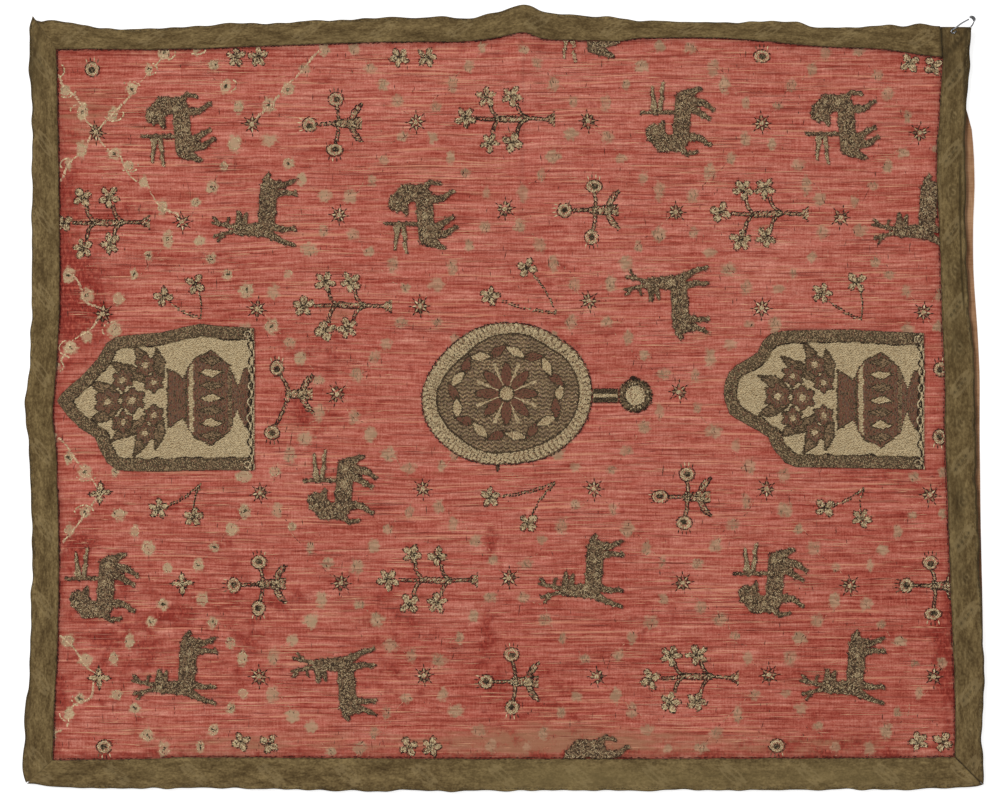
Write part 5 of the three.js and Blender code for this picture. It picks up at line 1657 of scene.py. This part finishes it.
def sew_pile(sewing):
    """Tufts of pile where the cloth is least worn."""
    count = 26000
    x = sewing.rng.uniform(-357, 355, count)
    y = sewing.rng.uniform(-288, 286, count)
    amount = soft_blobs(PILE, x, y) + 0.25 * waves(x, y * 2, 24, 41)
    keep = on_ground(x, y, 1) & (sewing.rng.random(count) < smooth(0.25, 0.9, amount))
    x, y = x[keep], y[keep]
    dye = sewing.pick([CRIMSON, CRIMSON * 0.6, srgb(146, 66, 54)], [0.45, 0.3, 0.25], len(x))
    angle = np.pi / 2 + sewing.rng.normal(0, 0.35, len(x))
    sewing.sew(x, y, angle, sewing.rng.uniform(0.9, 2.0, len(x)), 0.5, 0.5, GROUND_TOP - 0.03, dye)


def clear_of_pieces(x, y):
    """False over the applied panels, the medallion and its roundel."""
    clear = np.ones(len(x), bool)
    for facts in PANELS.values():
        heights, lows, highs = np.array(facts["edge"]).T
        v, u = facts["foot"][0] - x, y - facts["foot"][1]
        across = (u > np.interp(v, heights, lows) - 1.5) & (u < np.interp(v, heights, highs) + 1.5)
        clear &= ~((v > -2) & (v < heights[-1] + 1) & across)
    u, v = x - MEDALLION_MIDDLE[0], y - MEDALLION_MIDDLE[1]
    clear &= np.hypot(u, v) > around(MEDALLION_REACH, np.arctan2(v, u)) + 2
    clear &= np.hypot(x - ROUNDEL["x"], y - ROUNDEL["y"]) > ROUNDEL["radius"] + 1.5
    off_link_x = np.abs(x - LINK["x"]) >= LINK["length"] / 2 + 1
    off_link_y = np.abs(y - LINK["y"]) >= LINK["width"] / 2 + 1
    return clear & (off_link_x | off_link_y)


# Safety pin

PIN_RADIUS = 0.6
PIN_SIDES = 12
PIN_COIL = (358.8, 293.6)
PIN_CAP = (373.6, 303.0)
PIN_CAP_SIZE = 1.25
# Heights of the wire's middle over the ribbon and below the lining
PIN_REST = RIBBON_TOP + float(lift(*map(np.array, PIN_COIL))) + 0.3 + PIN_RADIUS
PIN_UNDER = 0.3 + PIN_RADIUS


def closed_stack(rings, count, ends):
    """Points and triangles of a solid made of rings of count points, closed at both ends."""
    quads = grid_faces(len(rings) // count, count, closed_v=True)
    last = len(rings) - count
    k = np.arange(count)
    after = (k + 1) % count
    low = np.stack([np.full(count, len(rings)), k, after], axis=1)
    high = np.stack([np.full(count, len(rings) + 1), last + after, last + k], axis=1)
    faces = np.concatenate([quads[:, [0, 1, 2]], quads[:, [0, 2, 3]], low, high])
    return np.concatenate([rings, ends]), faces


def tube(points):
    """Points and triangles of the pin's round wire."""
    ahead = np.gradient(points, axis=0)
    ahead /= np.linalg.norm(ahead, axis=1)[:, None]
    side = np.cross(ahead, [0.0, 0.0, 1.0])
    weak = np.linalg.norm(side, axis=1) < 0.05
    side[weak] = [1.0, 0.0, 0.0]
    side /= np.linalg.norm(side, axis=1)[:, None]
    up = np.cross(side, ahead)
    turn = (np.arange(PIN_SIDES) * 2 * np.pi / PIN_SIDES)[None, :, None]
    ring = side[:, None, :] * np.cos(turn) + up[:, None, :] * np.sin(turn)
    rings = (points[:, None, :] + PIN_RADIUS * ring).reshape(-1, 3)
    return closed_stack(rings, PIN_SIDES, points[[0, -1]])


def smooth_line(stations, count):
    """A smooth line through a few stations."""
    stations = np.array(stations, float)
    far = np.concatenate([[0], np.cumsum(np.linalg.norm(np.diff(stations, axis=0), axis=1))])
    at = np.linspace(0, far[-1], count)
    curves = [through(np.column_stack([far, stations[:, k]])) for k in range(3)]
    return np.column_stack([curve(at) for curve in curves])


def make_pin_wire():
    """The wire from the cap, round its coil, down through the corner and back under the cloth."""
    coil_x, coil_y = PIN_COIL
    cap_x, cap_y = PIN_CAP
    rest, under = PIN_REST, PIN_UNDER
    stations = [
        (cap_x - 2.2, cap_y - 0.2, rest + 0.2), (coil_x + 6, coil_y + 5.4, rest + 0.4),
        (coil_x + 1.6, coil_y + 2, rest + 0.1), (coil_x - 0.8, coil_y + 0.6, rest),
        (coil_x - 1.3, coil_y - 1, rest), (coil_x, coil_y - 2, rest),
        (coil_x + 1.4, coil_y - 1.1, rest + 0.2), (coil_x + 2.4, coil_y - 0.2, rest - 0.4),
        (coil_x + 3, coil_y, rest - 1.8), (coil_x + 3.2, coil_y + 0.1, rest - 3.4),
        (coil_x + 3.8, coil_y + 0.3, under + 0.5), (coil_x + 7.4, coil_y + 0.9, under),
        (coil_x + 12.2, coil_y + 2, under), (coil_x + 15.8, coil_y + 4.6, under + 1),
        (cap_x + 2, cap_y - 2.6, rest - 1.6),
    ]
    points, faces = tube(smooth_line(stations, 160))
    wire = make_mesh("pin_wire_round", points, faces, "steel")
    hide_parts("pin_wire")


def make_pin_cap():
    """A folded head, drawn by its outline and swelled in the middle of its thickness."""
    cap_place = np.array([PIN_CAP[0], PIN_CAP[1] + 0.4])
    # Each bend runs from its first point to its last and leans towards the one between
    bends = np.array([
        [(-1.6, 1.5), (0.8, 2.6), (2.4, 0.6)], [(2.4, 0.6), (3.2, -1.2), (1.6, -2.4)],
        [(1.6, -2.4), (1.2, -1.8), (0.9, -1.3)], [(0.9, -1.3), (0.2, 0.3), (-1.6, 0.4)],
    ])
    outline = [
        (1 - t) ** 2 * start + 2 * t * (1 - t) * control + t * t * end
        for start, control, end in bends for t in np.linspace(0, 1, 9)[:-1]
    ]
    outline = np.array(outline)[::-1] * PIN_CAP_SIZE
    middle = outline.mean(axis=0)
    # Columns: how far up, share of the full outline
    levels = [(-0.9, 0.82), (-0.7, 0.95), (-0.3, 1.0), (0.3, 1.0), (0.7, 0.95), (0.9, 0.82)]
    rings = []
    for z, scale in levels:
        flat = middle + (outline - middle) * scale + cap_place
        rings.append(np.column_stack([flat, np.full(len(flat), PIN_REST + z)]))
    ends = [(*(middle + cap_place), PIN_REST + z) for z in (-0.95, 0.95)]
    points, faces = closed_stack(np.concatenate(rings), len(outline), ends)
    cap = make_mesh("pin_cap_round", points, faces, "steel")
    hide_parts("pin_cap")


# The solids that stay

def dress_solids():
    """The padding and plates that carry stitches get a material of their own."""
    for name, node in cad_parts.items():
        if name.startswith(("lion", "stag")):
            node.data.materials.clear()
            node.data.materials.append(MATERIALS["padding"])
        elif name.startswith(("arch_panel", "medallion", "link", "roundel")):
            node.data.materials.clear()
            node.data.materials.append(MATERIALS["backing"])


leaf_spots = trellis_spots()
make_lining()
make_ground(leaf_spots)
for side in RIBBONS:
    make_ribbon(side)
dress_solids()

seams = Stitches(51)
sew_seams(seams)
sew_joints(seams)
seams.make("seam_stitches")

lions = Stitches(52)
for x, y, facing in LIONS:
    sew_animal(lions, LION, LION_PATCHES, True, x, y, facing)
lions.make("lion_stitches")

stags = Stitches(53)
for x, y, facing in STAGS:
    sew_animal(stags, STAG, STAG_PATCHES, False, x, y, facing)
stags.make("stag_stitches")

sprigs = Stitches(54)
for foot in FIVE_FLOWER_FEET:
    sew_five_flowers(sprigs, foot)
for px, py in LOOSE_FLOWERS:
    sew_flower(sprigs, *spot(px, py))
sprigs.make("sprig_stitches")

rounds = Stitches(58)
for foot in ROUND_FLOWER_FEET:
    sew_round_flowers(rounds, foot, ROUND_FLOWERS)
sew_round_flowers(rounds, PART_HIDDEN_FOOT, PART_HIDDEN_HEADS)
for first, second, foot in FLOWER_PAIRS:
    sew_flower_pair(rounds, (first, second), foot)
for px, py in LOOSE_ROUNDS:
    sew_round_flower(rounds, *spot(px, py), math.pi / 2 if py < 400 else -math.pi / 2)
rounds.make("round_flower_stitches")

stars = Stitches(55)
for place in STARS:
    if place in CROSS_STARS:
        sew_cross_star(stars, *place)
    else:
        sew_star(stars, *place)
stars.make("star_stitches")

faded = Stitches(57)
sew_spots(faded, leaf_spots)
sew_vines(faded, leaf_spots)
faded.make("leaf_spot_threads")

for side in PANELS:
    panel = Stitches(56 + len(side))
    sew_panel(panel, side)
    panel.make(f"panel_stitches_{side}")

oval = Stitches(66)
sew_medallion(oval)
sew_roundel(oval)
oval.make("medallion_stitches")

weft = Stitches(67)
sew_weft(weft)
sew_ticks(weft)
weft.make("weft_threads")
pile = Stitches(68)
sew_pile(pile)
pile.make("pile_tufts")
make_pin_wire()
make_pin_cap()

# Floor, lights and camera

floor = bpy.data.meshes.new("floor")
half, below = 4.0, -0.0004
corners = [(-half, -half, below), (half, -half, below), (half, half, below), (-half, half, below)]
floor.from_pydata(corners, [], [(0, 1, 2, 3)])
floor.materials.append(MATERIALS["floor"])
floor_object = bpy.data.objects.new("floor", floor)
bpy.context.scene.collection.objects.link(floor_object)

world = bpy.data.worlds.new("studio")
bpy.context.scene.world = world
world.use_nodes = True
world.node_tree.nodes["Background"].inputs[0].default_value = (1, 1, 1, 1)
world.node_tree.nodes["Background"].inputs[1].default_value = 0.53


def soft_light(name, place, size, power):
    """A square lamp that points at the middle of the cloth."""
    lamp = bpy.data.lights.new(name, "AREA")
    lamp.shape = "RECTANGLE"
    lamp.size = size
    lamp.size_y = size
    lamp.energy = power
    thing = bpy.data.objects.new(name, lamp)
    bpy.context.scene.collection.objects.link(thing)
    thing.location = place
    aim = -np.array(place, float)
    thing.rotation_euler = (math.atan2(math.hypot(aim[0], aim[1]), -aim[2]), 0, math.atan2(-aim[0], aim[1]))


soft_light("key", (-3.4, 2.4, 4.2), 1.6, 225)
soft_light("fill", (3.6, -3.2, 5.2), 4.0, 100)

PHOTO_WIDTH = 1000
PHOTO_HEIGHT = 802
LENS = 100.0
SENSOR = 36.0
camera_data = bpy.data.cameras.new("camera")
camera_data.lens = LENS
camera_data.sensor_width = SENSOR
camera_data.clip_start = 0.05
camera = bpy.data.objects.new("camera", camera_data)
bpy.context.scene.collection.objects.link(camera)
view_x, view_y = spot(PHOTO_WIDTH / 2, PHOTO_HEIGHT / 2)
distance = PHOTO_WIDTH * MM_PER_PIXEL * LENS / SENSOR + RIBBON_TOP
camera.location = (view_x * MM, view_y * MM, distance * MM)
bpy.context.scene.camera = camera
bpy.context.scene.view_settings.view_transform = "Standard"
